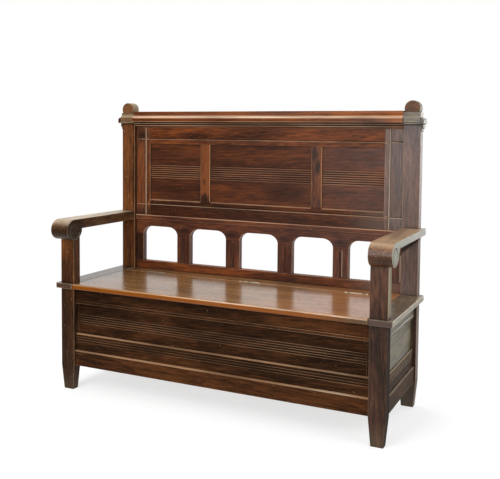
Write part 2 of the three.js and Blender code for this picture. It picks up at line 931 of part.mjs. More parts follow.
function finial(side) {
  const profile = [
    [0, 0],
    [finialRadius - finialEdge, 0],
    [finialRadius, finialEdge],
    [finialRadius, finialDepth - finialEdge],
    [finialRadius - finialEdge, finialDepth],
    [0, finialDepth],
  ];
  const geometry = new THREE.LatheGeometry(profile.map(([r, h]) => new THREE.Vector2(r, h)), discSteps);
  geometry.translate(side * finialX, finialFront, finialZ);
  const under = [capTop - 2 * finialRadius, capTop];
  const wide = [side * finialX - 2 * finialRadius, side * finialX + 2 * finialRadius];
  const cut = block(wide, [finialFront - overrun, depthOverPosts + overrun], under);
  const peg = pegCylinder(finialPegRadius, side, [capTop - finialPegLength, finialZ]);
  return toSolid(geometry).subtract(cut).add(peg);
}

// The side moulding: a nose beside the cap, over two bands that step in to the post
function sideMoulding(side) {
  const outward = (points) => points.map(([reach, z]) => [side * (outerX + reach), z]);
  const upperFoot = capFoot - upperBandHeight;
  const lowerFoot = upperFoot - lowerBandHeight;
  const nose = outward([
    [0, capFoot],
    [noseUnderReach, capFoot],
    [noseReach, capFoot + noseUnderRise],
    ...arc([0, capFaceTop - noseRise], [noseReach, noseRise], 0, quarterTurn, arcSteps),
  ]);
  const bands = outward([
    [0, lowerFoot],
    [lowerBandReach, lowerFoot],
    [lowerBandReach, upperFoot],
    [upperBandReach, upperFoot],
    [upperBandReach, capFoot],
    [0, capFoot],
  ]);
  return prismAlongY(nose, [capFront + noseSetBack, depthOverPosts])
    .add(prismAlongY(bands, [backPostFront, depthOverPosts]));
}

function addPostTops() {
  for (const side of [-1, 1]) {
    const hand = side < 0 ? 'left' : 'right';
    const cap = prismAlongX(capSection(), [side * backInnerX, side * outerX]);
    const socketDrop = [capTop - finialPegLength - slack, capTop + overrun];
    const socket = pegCylinder(finialPegRadius + slack, side, socketDrop);
    addPiece(settle, `post_cap_${hand}`, cap.subtract(socket), frameWood);
    addPiece(settle, `finial_${hand}`, finial(side), frameWood);
    addPiece(settle, `side_moulding_${hand}`, sideMoulding(side), frameWood);
  }
}

// Arms: a board whose front rolls over, with a scroll line cut in each end of the roll
function armTenon(side) {
  const middleX = side * (outerX + backInnerX) / 2;
  const middleZ = (armTop + armUnderside) / 2;
  return [
    [middleX - armTenonAcross / 2, middleX + armTenonAcross / 2],
    [backPostFront, backPostFront + tenonLength],
    [middleZ - armTenonHeight / 2, middleZ + armTenonHeight / 2],
  ];
}

function armSection() {
  const meet = Math.asin((armUnderside - rollZ) / rollRise);
  return [
    [endsBack, armUnderside],
    [endsBack, armTop],
    ...arc([rollSetBack, rollZ], [rollReach, rollRise], quarterTurn, fullTurn + meet, rollSteps),
  ];
}

function scrollLine(x) {
  const disc = (radius, thickness) => {
    const geometry = new THREE.CylinderGeometry(radius, radius, thickness, discSteps);
    geometry.rotateZ(quarterTurn);
    geometry.translate(x, rollSetBack, rollZ - scrollSetDown);
    return toSolid(geometry);
  };
  const ring = disc(scrollRadius, 2 * scrollLineDepth);
  return ring.subtract(disc(scrollRadius - scrollLineWidth, 2 * scrollLineDepth + overrun));
}

function arm(side) {
  let solid = prismAlongX(armSection(), [side * armInnerX, side * armOuterX]);
  solid = solid.subtract(prismAlongY(armBevel(side), [rollBack + overrun, depthOverPosts + overrun]));
  const notch = block(
    [side * (armInnerX - overrun), side * (outerX + slack)],
    [backPostFront, depthOverPosts + overrun],
    [armUnderside - overrun, armTop + overrun],
  );
  solid = solid.subtract(notch).subtract(grownBlock(postTopTenon(side), slack));
  const [x, y, z] = armTenon(side);
  solid = solid.add(block(x, [y[0] - tenonLength, y[1]], z));
  for (const face of [armInnerX, armOuterX]) {
    solid = solid.subtract(scrollLine(side * face));
  }
  return solid;
}

// The underside rises from the post's outer face to the arm's thinner outer edge.
function armBevel(side) {
  const slope = (armThickness - armEdgeThickness) / armOverhang;
  return [
    [side * outerX, armUnderside],
    [side * (armOuterX + overrun), armUnderside + slope * (armOverhang + overrun)],
    [side * (armOuterX + overrun), armUnderside - overrun],
    [side * outerX, armUnderside - overrun],
  ];
}

function addArms() {
  for (const side of [-1, 1]) {
    addPiece(settle, `arm_${side < 0 ? 'left' : 'right'}`, arm(side), seatWood);
  }
}

// Seat ends, notched round both posts
const seatFront = -seatFrontOverhang;
const seatOuterX = outerX + seatSideOverhang;

function seatEnd(side) {
  const r = seatCornerRadius;
  const outline = [
    [frontInnerX, seatFront],
    ...arc([seatOuterX - r, seatFront + r], [r, r], -quarterTurn, 0, arcSteps),
    ...arc([seatOuterX - r, endsBack - r], [r, r], 0, quarterTurn, arcSteps),
    [frontInnerX, endsBack],
  ];
  const board = prismAlongZ(outline.map(([x, y]) => [side * x, y]), [seatUnderside, seatHeight]);
  const inward = overrun * side;
  const [frontX, frontY, frontZ] = frontPostRanges(side);
  const [backX, , backZ] = backPostRanges(side);
  const frontNotch = block(
    [frontX[0] - inward, frontX[1] + side * slack],
    grown(frontY, slack),
    frontZ,
  );
  const backNotch = block(
    [backX[0] - inward, backX[1] + side * slack],
    [backPostFront - slack, depthOverPosts + overrun],
    backZ,
  );
  return board.subtract(frontNotch).subtract(backNotch);
}

function addSeatEnds() {
  for (const side of [-1, 1]) {
    addPiece(settle, `seat_end_${side < 0 ? 'left' : 'right'}`, seatEnd(side), seatWood);
  }
}

// Hinges: each leaf is let into the edge of its board, with its knuckles on the line
const knuckleLength = hingeLength / hingeKnuckleCount;
const lidHalf = frontInnerX - lidEndGap;
const hingePlaces = centred([-lidHalf, lidHalf], 1 / 2, 2 * lidHalf * hingePitchShare, hingeCount);

function rodOnHingeLine(radius, [low, far]) {
  const geometry = new THREE.CylinderGeometry(radius, radius, far - low, pinSteps);
  geometry.rotateZ(quarterTurn);
  geometry.translate((low + far) / 2, hingeY, seatHeight);
  return toSolid(geometry);
}

function knuckleSpan(i, gap) {
  const low = -hingeLength / 2 + i * knuckleLength;
  return [low + gap, low + knuckleLength - gap];
}

function leafRanges(way) {
  const face = hingeY + (way * lidBackGap) / 2;
  return [
    [-hingeLength / 2, hingeLength / 2],
    [face, face + way * hingeLeafThickness],
    [seatHeight - hingeLeafHeight, seatHeight],
  ];
}

function hingeLeaf(way) {
  const own = way > 0 ? 0 : 1;
  const [x, y, z] = leafRanges(way);
  let leaf = block(x, y, z);
  for (let i = 1 - own; i < hingeKnuckleCount; i += 2) {
    leaf = leaf.subtract(rodOnHingeLine(hingeKnuckleRadius + hingeRelief, knuckleSpan(i, -slack)));
  }
  for (let i = own; i < hingeKnuckleCount; i += 2) {
    leaf = leaf.add(rodOnHingeLine(hingeKnuckleRadius, knuckleSpan(i, slack)));
  }
  const whole = [-hingeLength / 2, hingeLength / 2];
  if (way > 0) {
    return leaf.add(rodOnHingeLine(hingePinRadius, [whole[0] + slack, whole[1] - slack]));
  }
  return leaf.subtract(rodOnHingeLine(hingePinRadius + slack, grown(whole, overrun)));
}

// The housing cut for one hinge, in the lid or in the fixed strip
function hingeHousing(x, way) {
  const [along, y, z] = leafRanges(way);
  const span = grown(along.map((end) => x + end), slack);
  const slot = block(span, [hingeY, y[1] + way * slack], [z[0] - slack, z[1] + overrun]);
  return slot.add(rodOnHingeLine(hingeKnuckleRadius + hingeRelief, span));
}

function addHinges() {
  hingePlaces.forEach((x, i) => {
    addPiece(settle, `hinge_fixed_${i + 1}`, hingeLeaf(1), hingeIron).position.x = x;
    addPiece(settle, `hinge_moving_${i + 1}`, hingeLeaf(-1), hingeIron).position.x = x;
  });
}

function withHousings(solid, way) {
  return hingePlaces.reduce((cut, x) => cut.subtract(hingeHousing(x, way)), solid);
}

function addBackStrip() {
  const strip = block(
    [-backInnerX, backInnerX],
    [hingeY + lidBackGap / 2, depthOverPosts],
    [seatUnderside, seatHeight],
  );
  addPiece(settle, 'seat_back_strip', withHousings(strip, 1), seatWood);
}

// Lid: a board with a rounded nose, kept flat by two battens underneath
function addLid() {
  const [top, under] = [seatNoseRadius, seatNoseUnderRadius];
  const section = [
    [hingeY - lidBackGap / 2, seatUnderside],
    [hingeY - lidBackGap / 2, seatHeight],
    ...arc([seatFront + top, seatHeight - top], [top, top], quarterTurn, halfTurn, arcSteps / 2),
    ...arc(
      [seatFront + under, seatUnderside + under],
      [under, under],
      halfTurn,
      halfTurn + quarterTurn,
      arcSteps / 2,
    ),
  ];
  addPiece(settle, 'lid_board', withHousings(prismAlongX(section, [-lidHalf, lidHalf]), -1), seatWood);
  for (const side of [-1, 1]) {
    const x = side * lidHalf * lidBattenPlaceShare;
    const batten = block(
      [x - lidBattenWidth / 2, x + lidBattenWidth / 2],
      [boxWallDepth + lidBattenClearance, hingeY - lidBattenClearance],
      [seatUnderside - lidBattenThickness, seatUnderside],
    );
    addPiece(settle, `lid_batten_${side < 0 ? 'left' : 'right'}`, batten, boxWood);
  }
}

addPosts();
addBoxWalls();
addRearBoards();
addFloor();
addSeatEnds();
addBackStrip();
addLid();
addHinges();
addArcadeRails();
addArcadeUprights();
addBackFrame();
addBackPanels();
addCrestRail();
addPostTops();
addArms();

// The origin lies on the floor under the middle of the whole settle.
const frontReach = Math.min(rollSetBack - rollReach, seatFront);
settle.position.y = -(frontReach + depthOverPosts) / 2;

export default settle;
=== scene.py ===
# %% [markdown]
# A hall settle of old stained wood: a storage box under a hinged seat lid, a framed back with three carved
# panels over an arcade of five open bays, and two arms that roll over into scrolls. The imported model gives
# every piece its place, so it is loaded first.

# %% Load the frame
import math
import random

import bmesh
import bpy
from mathutils import Matrix, Vector
from mathutils.bvhtree import BVHTree


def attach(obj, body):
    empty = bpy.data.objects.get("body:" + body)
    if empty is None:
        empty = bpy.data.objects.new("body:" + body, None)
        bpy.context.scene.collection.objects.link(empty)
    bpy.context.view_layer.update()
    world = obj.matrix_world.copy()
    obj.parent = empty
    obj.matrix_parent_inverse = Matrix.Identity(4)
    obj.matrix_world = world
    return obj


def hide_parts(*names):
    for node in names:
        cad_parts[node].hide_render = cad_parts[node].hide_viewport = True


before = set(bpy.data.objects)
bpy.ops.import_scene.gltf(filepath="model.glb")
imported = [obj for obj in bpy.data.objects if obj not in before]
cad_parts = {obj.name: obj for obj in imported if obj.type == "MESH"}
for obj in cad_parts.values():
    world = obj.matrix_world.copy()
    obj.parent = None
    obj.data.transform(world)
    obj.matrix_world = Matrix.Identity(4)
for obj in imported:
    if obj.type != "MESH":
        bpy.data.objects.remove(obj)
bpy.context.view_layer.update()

# %% [markdown]
# The camera stands to the front right of the bench, a little lower than the crest rail and looking
# slightly down. A constraint could aim it, but not with the slight roll that it has, so its turn is put
# together from three directions: to its right, up, and back towards it. The lens's length and shift follow
# from where the upright and the long edges of such a bench meet in the picture.

# %% Camera
PICTURE_WIDTH = 500
FOCAL_PIXELS = 719.7
CENTRE_PIXELS = Vector((283.9, 176.3))
PICTURE_CENTRE = Vector((250, 239.5))
VIEW_TURN = math.radians(23.984)
VIEW_DROP = math.radians(3.203)
VIEW_ROLL = math.radians(0.65)
CAMERA_PLACE = Vector((1.3592, -2.5662, 1.0731))
UP = Vector((0, 0, 1))


def aimed(towards, roll=0):
    """A turn that makes a camera or a lamp look along a direction."""
    look = towards.normalized()
    side = look.cross(UP).normalized()
    top = side.cross(look)
    turned_side = side * math.cos(roll) + top * math.sin(roll)
    turned_top = top * math.cos(roll) - side * math.sin(roll)
    return Matrix((turned_side, turned_top, -look)).transposed().to_4x4()


view = Vector((
    -math.sin(VIEW_TURN) * math.cos(VIEW_DROP),
    math.cos(VIEW_TURN) * math.cos(VIEW_DROP),
    -math.sin(VIEW_DROP),
))
camera_data = bpy.data.cameras.new("camera")
camera_data.lens = FOCAL_PIXELS / PICTURE_WIDTH * camera_data.sensor_width
camera_data.shift_x = (PICTURE_CENTRE.x - CENTRE_PIXELS.x) / PICTURE_WIDTH
camera_data.shift_y = (CENTRE_PIXELS.y - PICTURE_CENTRE.y) / PICTURE_WIDTH
camera = bpy.data.objects.new("camera", camera_data)
camera.matrix_world = Matrix.Translation(CAMERA_PLACE) @ aimed(view, VIEW_ROLL)
bpy.context.scene.collection.objects.link(camera)
bpy.context.scene.camera = camera
print("lens", round(camera_data.lens, 2), "mm")

# %% [markdown]
# A shader is a tree of nodes, and writing one node at a time hides what it works out. Here a small class
# wraps a node's output, so that sums of numbers are written as plain Python and still become Math nodes.
# Every other kind of node comes from one method, which sets its options first and its sockets after them.

# %% Shader sums
class Signal:
    """A value that a shader carries from one node to the next."""

    def __init__(self, tree, socket):
        self.tree = tree
        self.socket = socket

    def sum_of(self, operation, first, second):
        node = self.tree.nodes.new("ShaderNodeMath")
        node.operation = operation
        for value, place in zip((first, second), node.inputs):
            if isinstance(value, Signal):
                self.tree.links.new(value.socket, place)
            else:
                place.default_value = value
        return Signal(self.tree, node.outputs[0])

    def __add__(self, other):
        return self.sum_of("ADD", self, other)

    def __radd__(self, other):
        return self.sum_of("ADD", other, self)

    def __sub__(self, other):
        return self.sum_of("SUBTRACT", self, other)

    def __rsub__(self, other):
        return self.sum_of("SUBTRACT", other, self)

    def __mul__(self, other):
        return self.sum_of("MULTIPLY", self, other)

    def __rmul__(self, other):
        return self.sum_of("MULTIPLY", other, self)

    def __truediv__(self, other):
        return self.sum_of("DIVIDE", self, other)

    def __pow__(self, other):
        return self.sum_of("POWER", self, other)


class Tree:
    """The node tree of a material or of the world, emptied and ready for its nodes."""

    def __init__(self, owner):
        self.nodes_of = owner.node_tree
        self.nodes_of.nodes.clear()

    def add(self, kind, settings=None, sockets=None, output=0):
        node = self.nodes_of.nodes.new("ShaderNode" + kind)
        for name, value in (settings or {}).items():
            if name == "stops":
                self.set_stops(node.color_ramp, value)
            else:
                setattr(node, name, value)
        for name, value in (sockets or {}).items():
            if isinstance(value, Signal):
                self.nodes_of.links.new(value.socket, node.inputs[name])
            else:
                node.inputs[name].default_value = value
        return Signal(self.nodes_of, node.outputs[output]) if len(node.outputs) else None

    def set_stops(self, ramp, stops):
        while len(ramp.elements) < len(stops):
            ramp.elements.new(1)
        for element, (position, stop_colour) in zip(ramp.elements, stops):
            element.position = position
            element.color = stop_colour

    def mixed(self, amount, first, second):
        """One colour passing into another as the amount goes from 0 to 1."""
        colour_sockets = {0: amount, 6: first, 7: second}
        return self.add("Mix", {"data_type": "RGBA", "clamp_factor": True}, colour_sockets, output=2)

    def rise(self, value, start, end):
        """0 below the start, 1 above the end, and smooth between them."""
        limits = {"Value": value, "From Min": start, "From Max": end}
        return self.add("MapRange", {"interpolation_type": "SMOOTHSTEP"}, limits)

    def band(self, value, limits, blur):
        """1 between two limits, and 0 a blur outside them."""
        start, end = limits
        return self.rise(value, start - blur, start) * (1 - self.rise(value, end, end + blur))

    def larger(self, first, second):
        return self.add("Math", {"operation": "MAXIMUM"}, {0: first, 1: second})

    def part(self, vector, axis):
        """One of the three numbers of a vector."""
        return self.add("SeparateXYZ", sockets={"Vector": vector}, output=axis)

    def place(self, axis):
        """How far to the right, to the back or up a point lies on the bench."""
        return self.part(self.add("TexCoord", output="Object"), axis)

    def facing(self, axis):
        """How much a surface faces right, back or up."""
        return self.part(self.add("TexCoord", output="Normal"), axis)


def colour(red, green, blue):
    """A colour as it is read off a screen, made linear for the shaders."""
    linear = [
        value / 12.92 if value <= 0.04045 else ((value + 0.055) / 1.055) ** 2.4
        for value in (red / 255, green / 255, blue / 255)
    ]
    return (*linear, 1)


def new_material(name):
    """A material and its empty tree."""
    material = bpy.data.materials.new(name)
    material.use_nodes = True
    return material, Tree(material)


print("a mid brown", [round(value, 3) for value in colour(110, 68, 44)])

# %% [markdown]
# A photographer would stand this bench on white paper, with a large soft lamp high on the left, a wide
# strip above, a lower lamp in front, and two panels at the right, one of them behind the bench. One lamp
# and an even world would be simpler, but then no edge would shine. The world is white where the camera or
# a polished surface looks past the bench, so that the lid mirrors the open bays. Towards the camera the
# room is darker, or old dark wood would look grey all over.

# %% Light and world
AMBIENT = 0.42
ROOM_BEHIND_CAMERA = 0.04
ROOM_DIMS = (-0.5, 0.1)
WHITE = (1, 1, 1, 1)
BENCH_MIDDLE = Vector((0, 0, 0.62))
CREST_MIDDLE = Vector((0, 0.2, 1.15))
RIGHT_POST_MIDDLE = Vector((0.65, 0.2, 0.9))

world = bpy.data.worlds.new("studio")
world.use_nodes = True
bpy.context.scene.world = world
sky = Tree(world)
is_camera = sky.add("LightPath", output="Is Camera Ray")
is_glossy = sky.add("LightPath", output="Is Glossy Ray")
is_through = sky.add("LightPath", output="Is Transmission Ray")
backward = sky.part(sky.add("TexCoord", output="Generated"), "Y")
mirrored_room = sky.rise(backward, *ROOM_DIMS) * (1 - ROOM_BEHIND_CAMERA) + ROOM_BEHIND_CAMERA
seen = is_camera + is_through
level = seen + is_glossy * mirrored_room + (1 - seen - is_glossy) * AMBIENT
backdrop = sky.add("Background", sockets={"Color": WHITE, "Strength": level})
sky.add("OutputWorld", sockets={"Surface": backdrop})


def add_lamp(name, place, width, height, watts, aim=BENCH_MIDDLE, tint=(1, 1, 1)):
    """A flat soft lamp that faces the middle of the bench, or another point."""
    lamp_data = bpy.data.lights.new(name, "AREA")
    lamp_data.shape = "RECTANGLE"
    lamp_data.size = width
    lamp_data.size_y = height
    lamp_data.energy = watts
    lamp_data.color = tint
    lamp = bpy.data.objects.new(name, lamp_data)
    lamp.matrix_world = Matrix.Translation(place) @ aimed(aim - place)
    lamp.visible_camera = False
    bpy.context.scene.collection.objects.link(lamp)


add_lamp("key_lamp", Vector((-0.9, -3.1, 2.9)), width=2.2, height=1.8, watts=52)
add_lamp("overhead_lamp", Vector((-1.0, 0.56, 3.05)), width=2.8, height=0.6, watts=30, aim=CREST_MIDDLE)
add_lamp("front_lamp", Vector((-0.25, -3.3, 1.1)), width=0.9, height=1.6, watts=30, aim=RIGHT_POST_MIDDLE)
add_lamp("side_lamp", Vector((3.4, -0.9, 1.5)), width=1.6, height=2.4, watts=30, tint=(0.88, 1, 0.94))
add_lamp("rear_side_lamp", Vector((2.4, 3.2, 1.1)), width=1.6, height=1.8, watts=36, aim=RIGHT_POST_MIDDLE)
print("lamps", [lamp.name for lamp in bpy.data.lights])

# %% [markdown]
# The floor is a pale sheet that runs out of sight. A curved sheet would need to be very large, so this one
# is flat and its colour does the rest. Near the bench it is matt and carries the soft shadow, with a
# little white added where it is looked at. Far out, where the lamps no longer reach, it passes into plain
# white, so that it meets the white behind it without a line. In the polish of the wood the paper shines in
# the same way under and behind the bench, and less beside it.

# %% Floor
FLOOR_REACH = 14
FLOOR_LIFT = 0.66
LIT_REACH = 1.3
WHITE_REACH = 2.6
MIRROR_STARTS = (-0.6, 0.0)
BESIDE_BENCH = (0.5, 1.0)
BESIDE_LOSS = 0.6


def plain_object(name, shape):
    """A mesh object at the origin made from a bmesh, which is freed."""
    mesh = bpy.data.meshes.new(name)
    shape.to_mesh(mesh)
    shape.free()
    item = bpy.data.objects.new(name, mesh)
    bpy.context.scene.collection.objects.link(item)
    return item


floor_shape = bmesh.new()
bmesh.ops.create_grid(floor_shape, x_segments=1, y_segments=1, size=FLOOR_REACH)
floor = plain_object("floor", floor_shape)
floor_material, paper = new_material("pale_floor")
not_beside = 1 - paper.rise(paper.place("X"), *BESIDE_BENCH) * BESIDE_LOSS
behind_front = paper.rise(paper.place("Y"), *MIRROR_STARTS)
mirrored = paper.add("LightPath", output="Is Glossy Ray") * behind_front * not_beside
through = paper.add("LightPath", output="Is Transmission Ray")
looked_at = paper.add("LightPath", output="Is Camera Ray") + through + mirrored
matt_paper = paper.add("BsdfDiffuse", sockets={"Color": colour(188, 188, 188)})
paper_lift = paper.add("Emission", sockets={"Color": WHITE, "Strength": looked_at * FLOOR_LIFT})
paper_sum = paper.add("AddShader", sockets={0: matt_paper, 1: paper_lift})
far_paper = paper.add("Emission", sockets={"Color": WHITE, "Strength": looked_at})
paper_place = paper.add("TexCoord", output="Object")
from_middle = paper.add("VectorMath", {"operation": "LENGTH"}, {0: paper_place}, output="Value")
far_share = paper.rise(from_middle, LIT_REACH, WHITE_REACH)
paper_surface = paper.add("MixShader", sockets={0: far_share, 1: paper_sum, 2: far_paper})
paper.add("OutputMaterial", sockets={"Surface": paper_surface})
floor.data.materials.append(floor_material)
print("floor", [round(side, 1) for side in floor.dimensions], "m")

# %% [markdown]
# Wood is coloured by how the board was cut. An image of planks could be laid on, but it would repeat from
# board to board and show no end grain. Growth rings are cylinders round the heart of the tree, so here
# each board keeps where it lay in its tree, as a vector on its points: the first number runs along the
# grain, and the other two measure from the heart. One finish then serves every board, and no two boards
# look alike. On top come fine fibres, pores, uneven stain, a darkening in the corners, and the pale rub along
# each outer edge, which is wear together with a painted highlight. Each pattern below is given by how often it
# changes in a metre, along the grain and twice across it, and by how many times finer noise is laid over it.

# %% Wood finish
GRAIN = "grain_place"
TONE = "board_tone"
TOUCH = "face_touch"
EDGE_PALE_WIDTH = 0.0020
CORNER_WIDTH = 0.016
JOINT_WIDTH = 0.0018
SWAY = ((1.8, 7, 7), 3)
STAIN = ((3.2, 17, 17), 4)
CLOUD = ((1.1, 3.5, 3.5), 2)
FIBRE = ((9, 420, 420), 2)
STREAK = ((4, 130, 130), 4)
FLECK = ((19, 150, 150), 5)
CHIP = ((70, 170, 170), 3)
PORE = ((55, 1100, 1100), 1)
CHIP_SHOWS = (0.69, 0.77)
PORE_SHOWS = (0.60, 0.72)
FIBRE_SHOWS = (0.45, 0.75)
STAIN_SPREAD = (0.36, 0.60)
EDGE_PALE_SPREAD = (0.35, 0.95)
CORNER_SPREAD = (0.12, 0.75)
JOINT_OPENS = (0.70, 0.97)
DUST_AND_HIGHLIGHT_STARTS = (1.1, 1.9)
RING_SWAY_SIDE = 0.03
RING_SWAY_DEPTH = 0.02
LATE_WOOD = 2.5
DARK_SHADE = 0.40
BROWN_SHADE = 0.50
BRIGHT_SHADE = 0.62
DIRT_AND_SHADE_COLOUR = colour(24, 15, 10)
DUST_AND_HIGHLIGHT_COLOUR = colour(196, 184, 160)
FIBRE_HEIGHT = 0.00006
PORE_DEPTH = 0.00012
SWAY_HEIGHT = 0.0009
RING_HEIGHT = 0.00008


def stretched_noise(tree, place, stretch, detail):
    """Noise drawn out along the grain, about 0.5 on average."""
    scaled = tree.add("VectorMath", {"operation": "MULTIPLY"}, {0: place, 1: stretch})
    return tree.add("TexNoise", sockets={"Vector": scaled, "Scale": 1, "Detail": detail})


def patch(tree, centre, reach, wander):
    """1 at the centre of an uneven oval patch, and 0 beyond its reach along each axis."""
    place = tree.add("TexCoord", output="Object")
    offset = tree.add("VectorMath", {"operation": "SUBTRACT"}, {0: place, 1: centre})
    scaled = tree.add("VectorMath", {"operation": "DIVIDE"}, {0: offset, 1: reach})
    distance = tree.add("VectorMath", {"operation": "LENGTH"}, {0: scaled}, output="Value")
    return tree.rise(1 - distance + wander, 0, 1)


def openness(tree, width, samples, **settings):
    """1 where nothing lies within the width, and less in a corner."""
    settings["samples"] = samples
    return tree.add("AmbientOcclusion", settings, {"Distance": width}, output="AO")


def wood_finish(
    name, dark, brown, bright, worn, roughness, gloss,
    rub_and_highlight=0.75, ring_gap=0.0055, figure=0.35, flecks=0.3, dust_and_highlight=1,
    wear_and_highlight_part=None, line_contrast_part=None, patches=(), tints=(),
):
    """A stained wood. The function for worn places, if given, finds in the tree what hands have worn and where
    a highlight is painted; the worn colour paints both, and the pale rub of the edges, which is wear with a
    painted highlight.

    The function for lines says in the same way where the painted light and shade of the lines and ledges are
    stronger.
    Each patch has a centre, its reach along each axis, and how much paler or darker it is than the rest.
    Each tint has a function like the one for worn places, the colour that it gives to what that function
    finds, and how much duller it makes that.
    """
    material, tree = new_material(name)
    place = tree.add("Attribute", {"attribute_name": GRAIN}, output="Vector")
    tone = tree.add("Attribute", {"attribute_name": TONE}, output="Fac")
    touch = tree.add("Attribute", {"attribute_name": TOUCH}, output="Fac")
    if line_contrast_part:
        touch = touch * (1 + line_contrast_part(tree))

    sway = stretched_noise(tree, place, *SWAY) - 0.5
    stain = stretched_noise(tree, place, *STAIN)
    cloud = stretched_noise(tree, place, *CLOUD)
    fibre = stretched_noise(tree, place, *FIBRE)
    streak = stretched_noise(tree, place, *STREAK)
    fleck = stretched_noise(tree, place, *FLECK)
    chip = tree.rise(stretched_noise(tree, place, *CHIP), *CHIP_SHOWS)
    pore = tree.rise(stretched_noise(tree, place, *PORE), *PORE_SHOWS)

    across = tree.part(place, "Y") + sway * RING_SWAY_SIDE
    through = tree.part(place, "Z") + sway * RING_SWAY_DEPTH
    from_heart = (across ** 2 + through ** 2) ** 0.5
    ring = tree.add("Math", {"operation": "FRACT"}, {0: from_heart / ring_gap + sway * 2})
    late_wood = ring ** LATE_WOOD * figure

    # The pale rub below is wear on outer edges, chips and ledges, together with a painted highlight where they
    # catch the light.
    edge = openness(tree, EDGE_PALE_WIDTH, 6, inside=True, only_local=True)
    corner = openness(tree, CORNER_WIDTH, 6)
    joint = 1 - tree.rise(openness(tree, JOINT_WIDTH, 4), *JOINT_OPENS)
    uneven = tree.rise(stain, *STAIN_SPREAD)
    sunk = tree.add("Math", {"operation": "MINIMUM"}, {0: touch, 1: 0})
    edge_wear_and_highlight = tree.rise((1 - edge) * 1.5 + (stain - 0.5) * 0.9 + sunk * 2.4, *EDGE_PALE_SPREAD)
    face_wear_and_highlight = tree.rise(touch, 0, 1) * (uneven * 0.5 + 0.5)
    rub_and_highlight_amount = tree.larger(edge_wear_and_highlight, tree.larger(face_wear_and_highlight, chip * 0.7)) * rub_and_highlight
    if wear_and_highlight_part:
        rub_and_highlight_amount = tree.larger(rub_and_highlight_amount, wear_and_highlight_part(tree) * (uneven * 0.5 + 0.5))
    rub_and_highlight_amount = rub_and_highlight_amount * (1 - joint)
    # Darker in the corners and hollows, with dirt in the joints and painted shade on the unlit side of each
    # carved line.
    dirt_and_shade = tree.larger(tree.rise(1 - corner, *CORNER_SPREAD) + joint * 0.5, 0 - touch)

    shade = stain * 0.32 + cloud * 0.24 + streak * 0.22 + (fleck - 0.5) * flecks + tone * 0.10 + 0.11
    for centre, reach, strength in patches:
        shade = shade + patch(tree, centre, reach, (stain - 0.5) * 1.2 + (streak - 0.5) * 0.8) * strength
    stops = [(DARK_SHADE, dark), (BROWN_SHADE, brown), (BRIGHT_SHADE, bright)]
    stained = tree.add("ValToRGB", {"stops": stops}, {"Fac": shade})
    ringed = tree.mixed(late_wood, stained, dark)
    fibred = tree.mixed(tree.rise(fibre, *FIBRE_SHOWS) * 0.30, ringed, bright)
    pored = tree.mixed(pore * 0.55, fibred, dark)
    dirt_and_shade_wood = tree.mixed(dirt_and_shade * 0.75, pored, DIRT_AND_SHADE_COLOUR)
    worn_and_lit_wood = tree.mixed(rub_and_highlight_amount, dirt_and_shade_wood, worn)
    # Dust with a painted highlight on the lit side of broad carved lines, and on the most strongly lit edges.
    dusted_and_lit = tree.rise(touch, *DUST_AND_HIGHLIGHT_STARTS) * (uneven * 0.4 + 0.45) * dust_and_highlight
    coloured = tree.mixed(dusted_and_lit, worn_and_lit_wood, DUST_AND_HIGHLIGHT_COLOUR)
    rough = roughness + (fibre - 0.5) * 0.18 + (cloud - 0.5) * 0.15 + dirt_and_shade * 0.25
    for tinted_part, tint, dullness in tints:
        amount = tinted_part(tree)
        coloured = tree.mixed(amount, coloured, tint)
        rough = rough + amount * dullness

    height = fibre * FIBRE_HEIGHT - pore * PORE_DEPTH + sway * SWAY_HEIGHT + late_wood * RING_HEIGHT
    bump = tree.add("Bump", sockets={"Height": height, "Distance": 1, "Strength": 1})
    surface = tree.add("BsdfPrincipled", sockets={
        "Base Color": coloured,
        "Roughness": rough,
        "Specular IOR Level": gloss,
        "Normal": bump,
    })
    tree.add("OutputMaterial", sockets={"Surface": surface})
    return material


for name, (stretch, _) in (("fibre", FIBRE), ("pore", PORE)):
    print("a", name, "is about", round(1000 / max(stretch), 1), "mm wide")

# %% [markdown]
# The side of a carved line that faces up or right is painted pale as a highlight, with dust on the broad
# ones, and the other side is painted dark as shade. Narrow ledges are rubbed pale and carry a painted
# highlight, and hollows are darker. All of this could be painted by hand, but there are hundreds of narrow
# faces. Here each face of a imported solid is judged by its width, its slope and the corners at its edges,
# and the verdict is kept as a number on the face for the wood finish to read.

# %% How a face has aged, and its painted light and shade
UNDERSIDE = -0.3
LONG = 0.030
SHARP = math.radians(28)
CREASE = math.radians(-25)
LINE_WIDTH = 0.0042
CHAMFER_WIDTH = 0.0080
BROAD_LINE = 0.0037
LINE_LIGHT = 0.9
LEVEL_LINE_DUST_AND_HIGHLIGHT = 1.35
UPRIGHT_LINE_DUST_AND_HIGHLIGHT = 1.8
CHAMFER_LIGHT = 0.85
LIGHT_FROM_RIGHT = 0.5
LIT_WALL = 0.1
LAND_DARKENING = 0.1
HOLLOW_DARKENING = 0.5


def width_of(face):
    """A narrow face's width."""
    return face.calc_area() / max(edge.calc_length() for edge in face.edges)


def turns_of(face, shortest=LONG):
    """The angles at a face's edges that are longer than the shortest, above 0 at an outward corner."""
    return [edge.calc_face_angle_signed(0) for edge in face.edges if edge.calc_length() > shortest]


def is_line_wall(face, shortest=LONG):
    """True for one side of a carved line: narrow, with its outward corner at the lip."""
    turns = turns_of(face, shortest)
    return len(turns) > 1 and width_of(face) < LINE_WIDTH and min(turns) < CREASE and max(turns) > SHARP


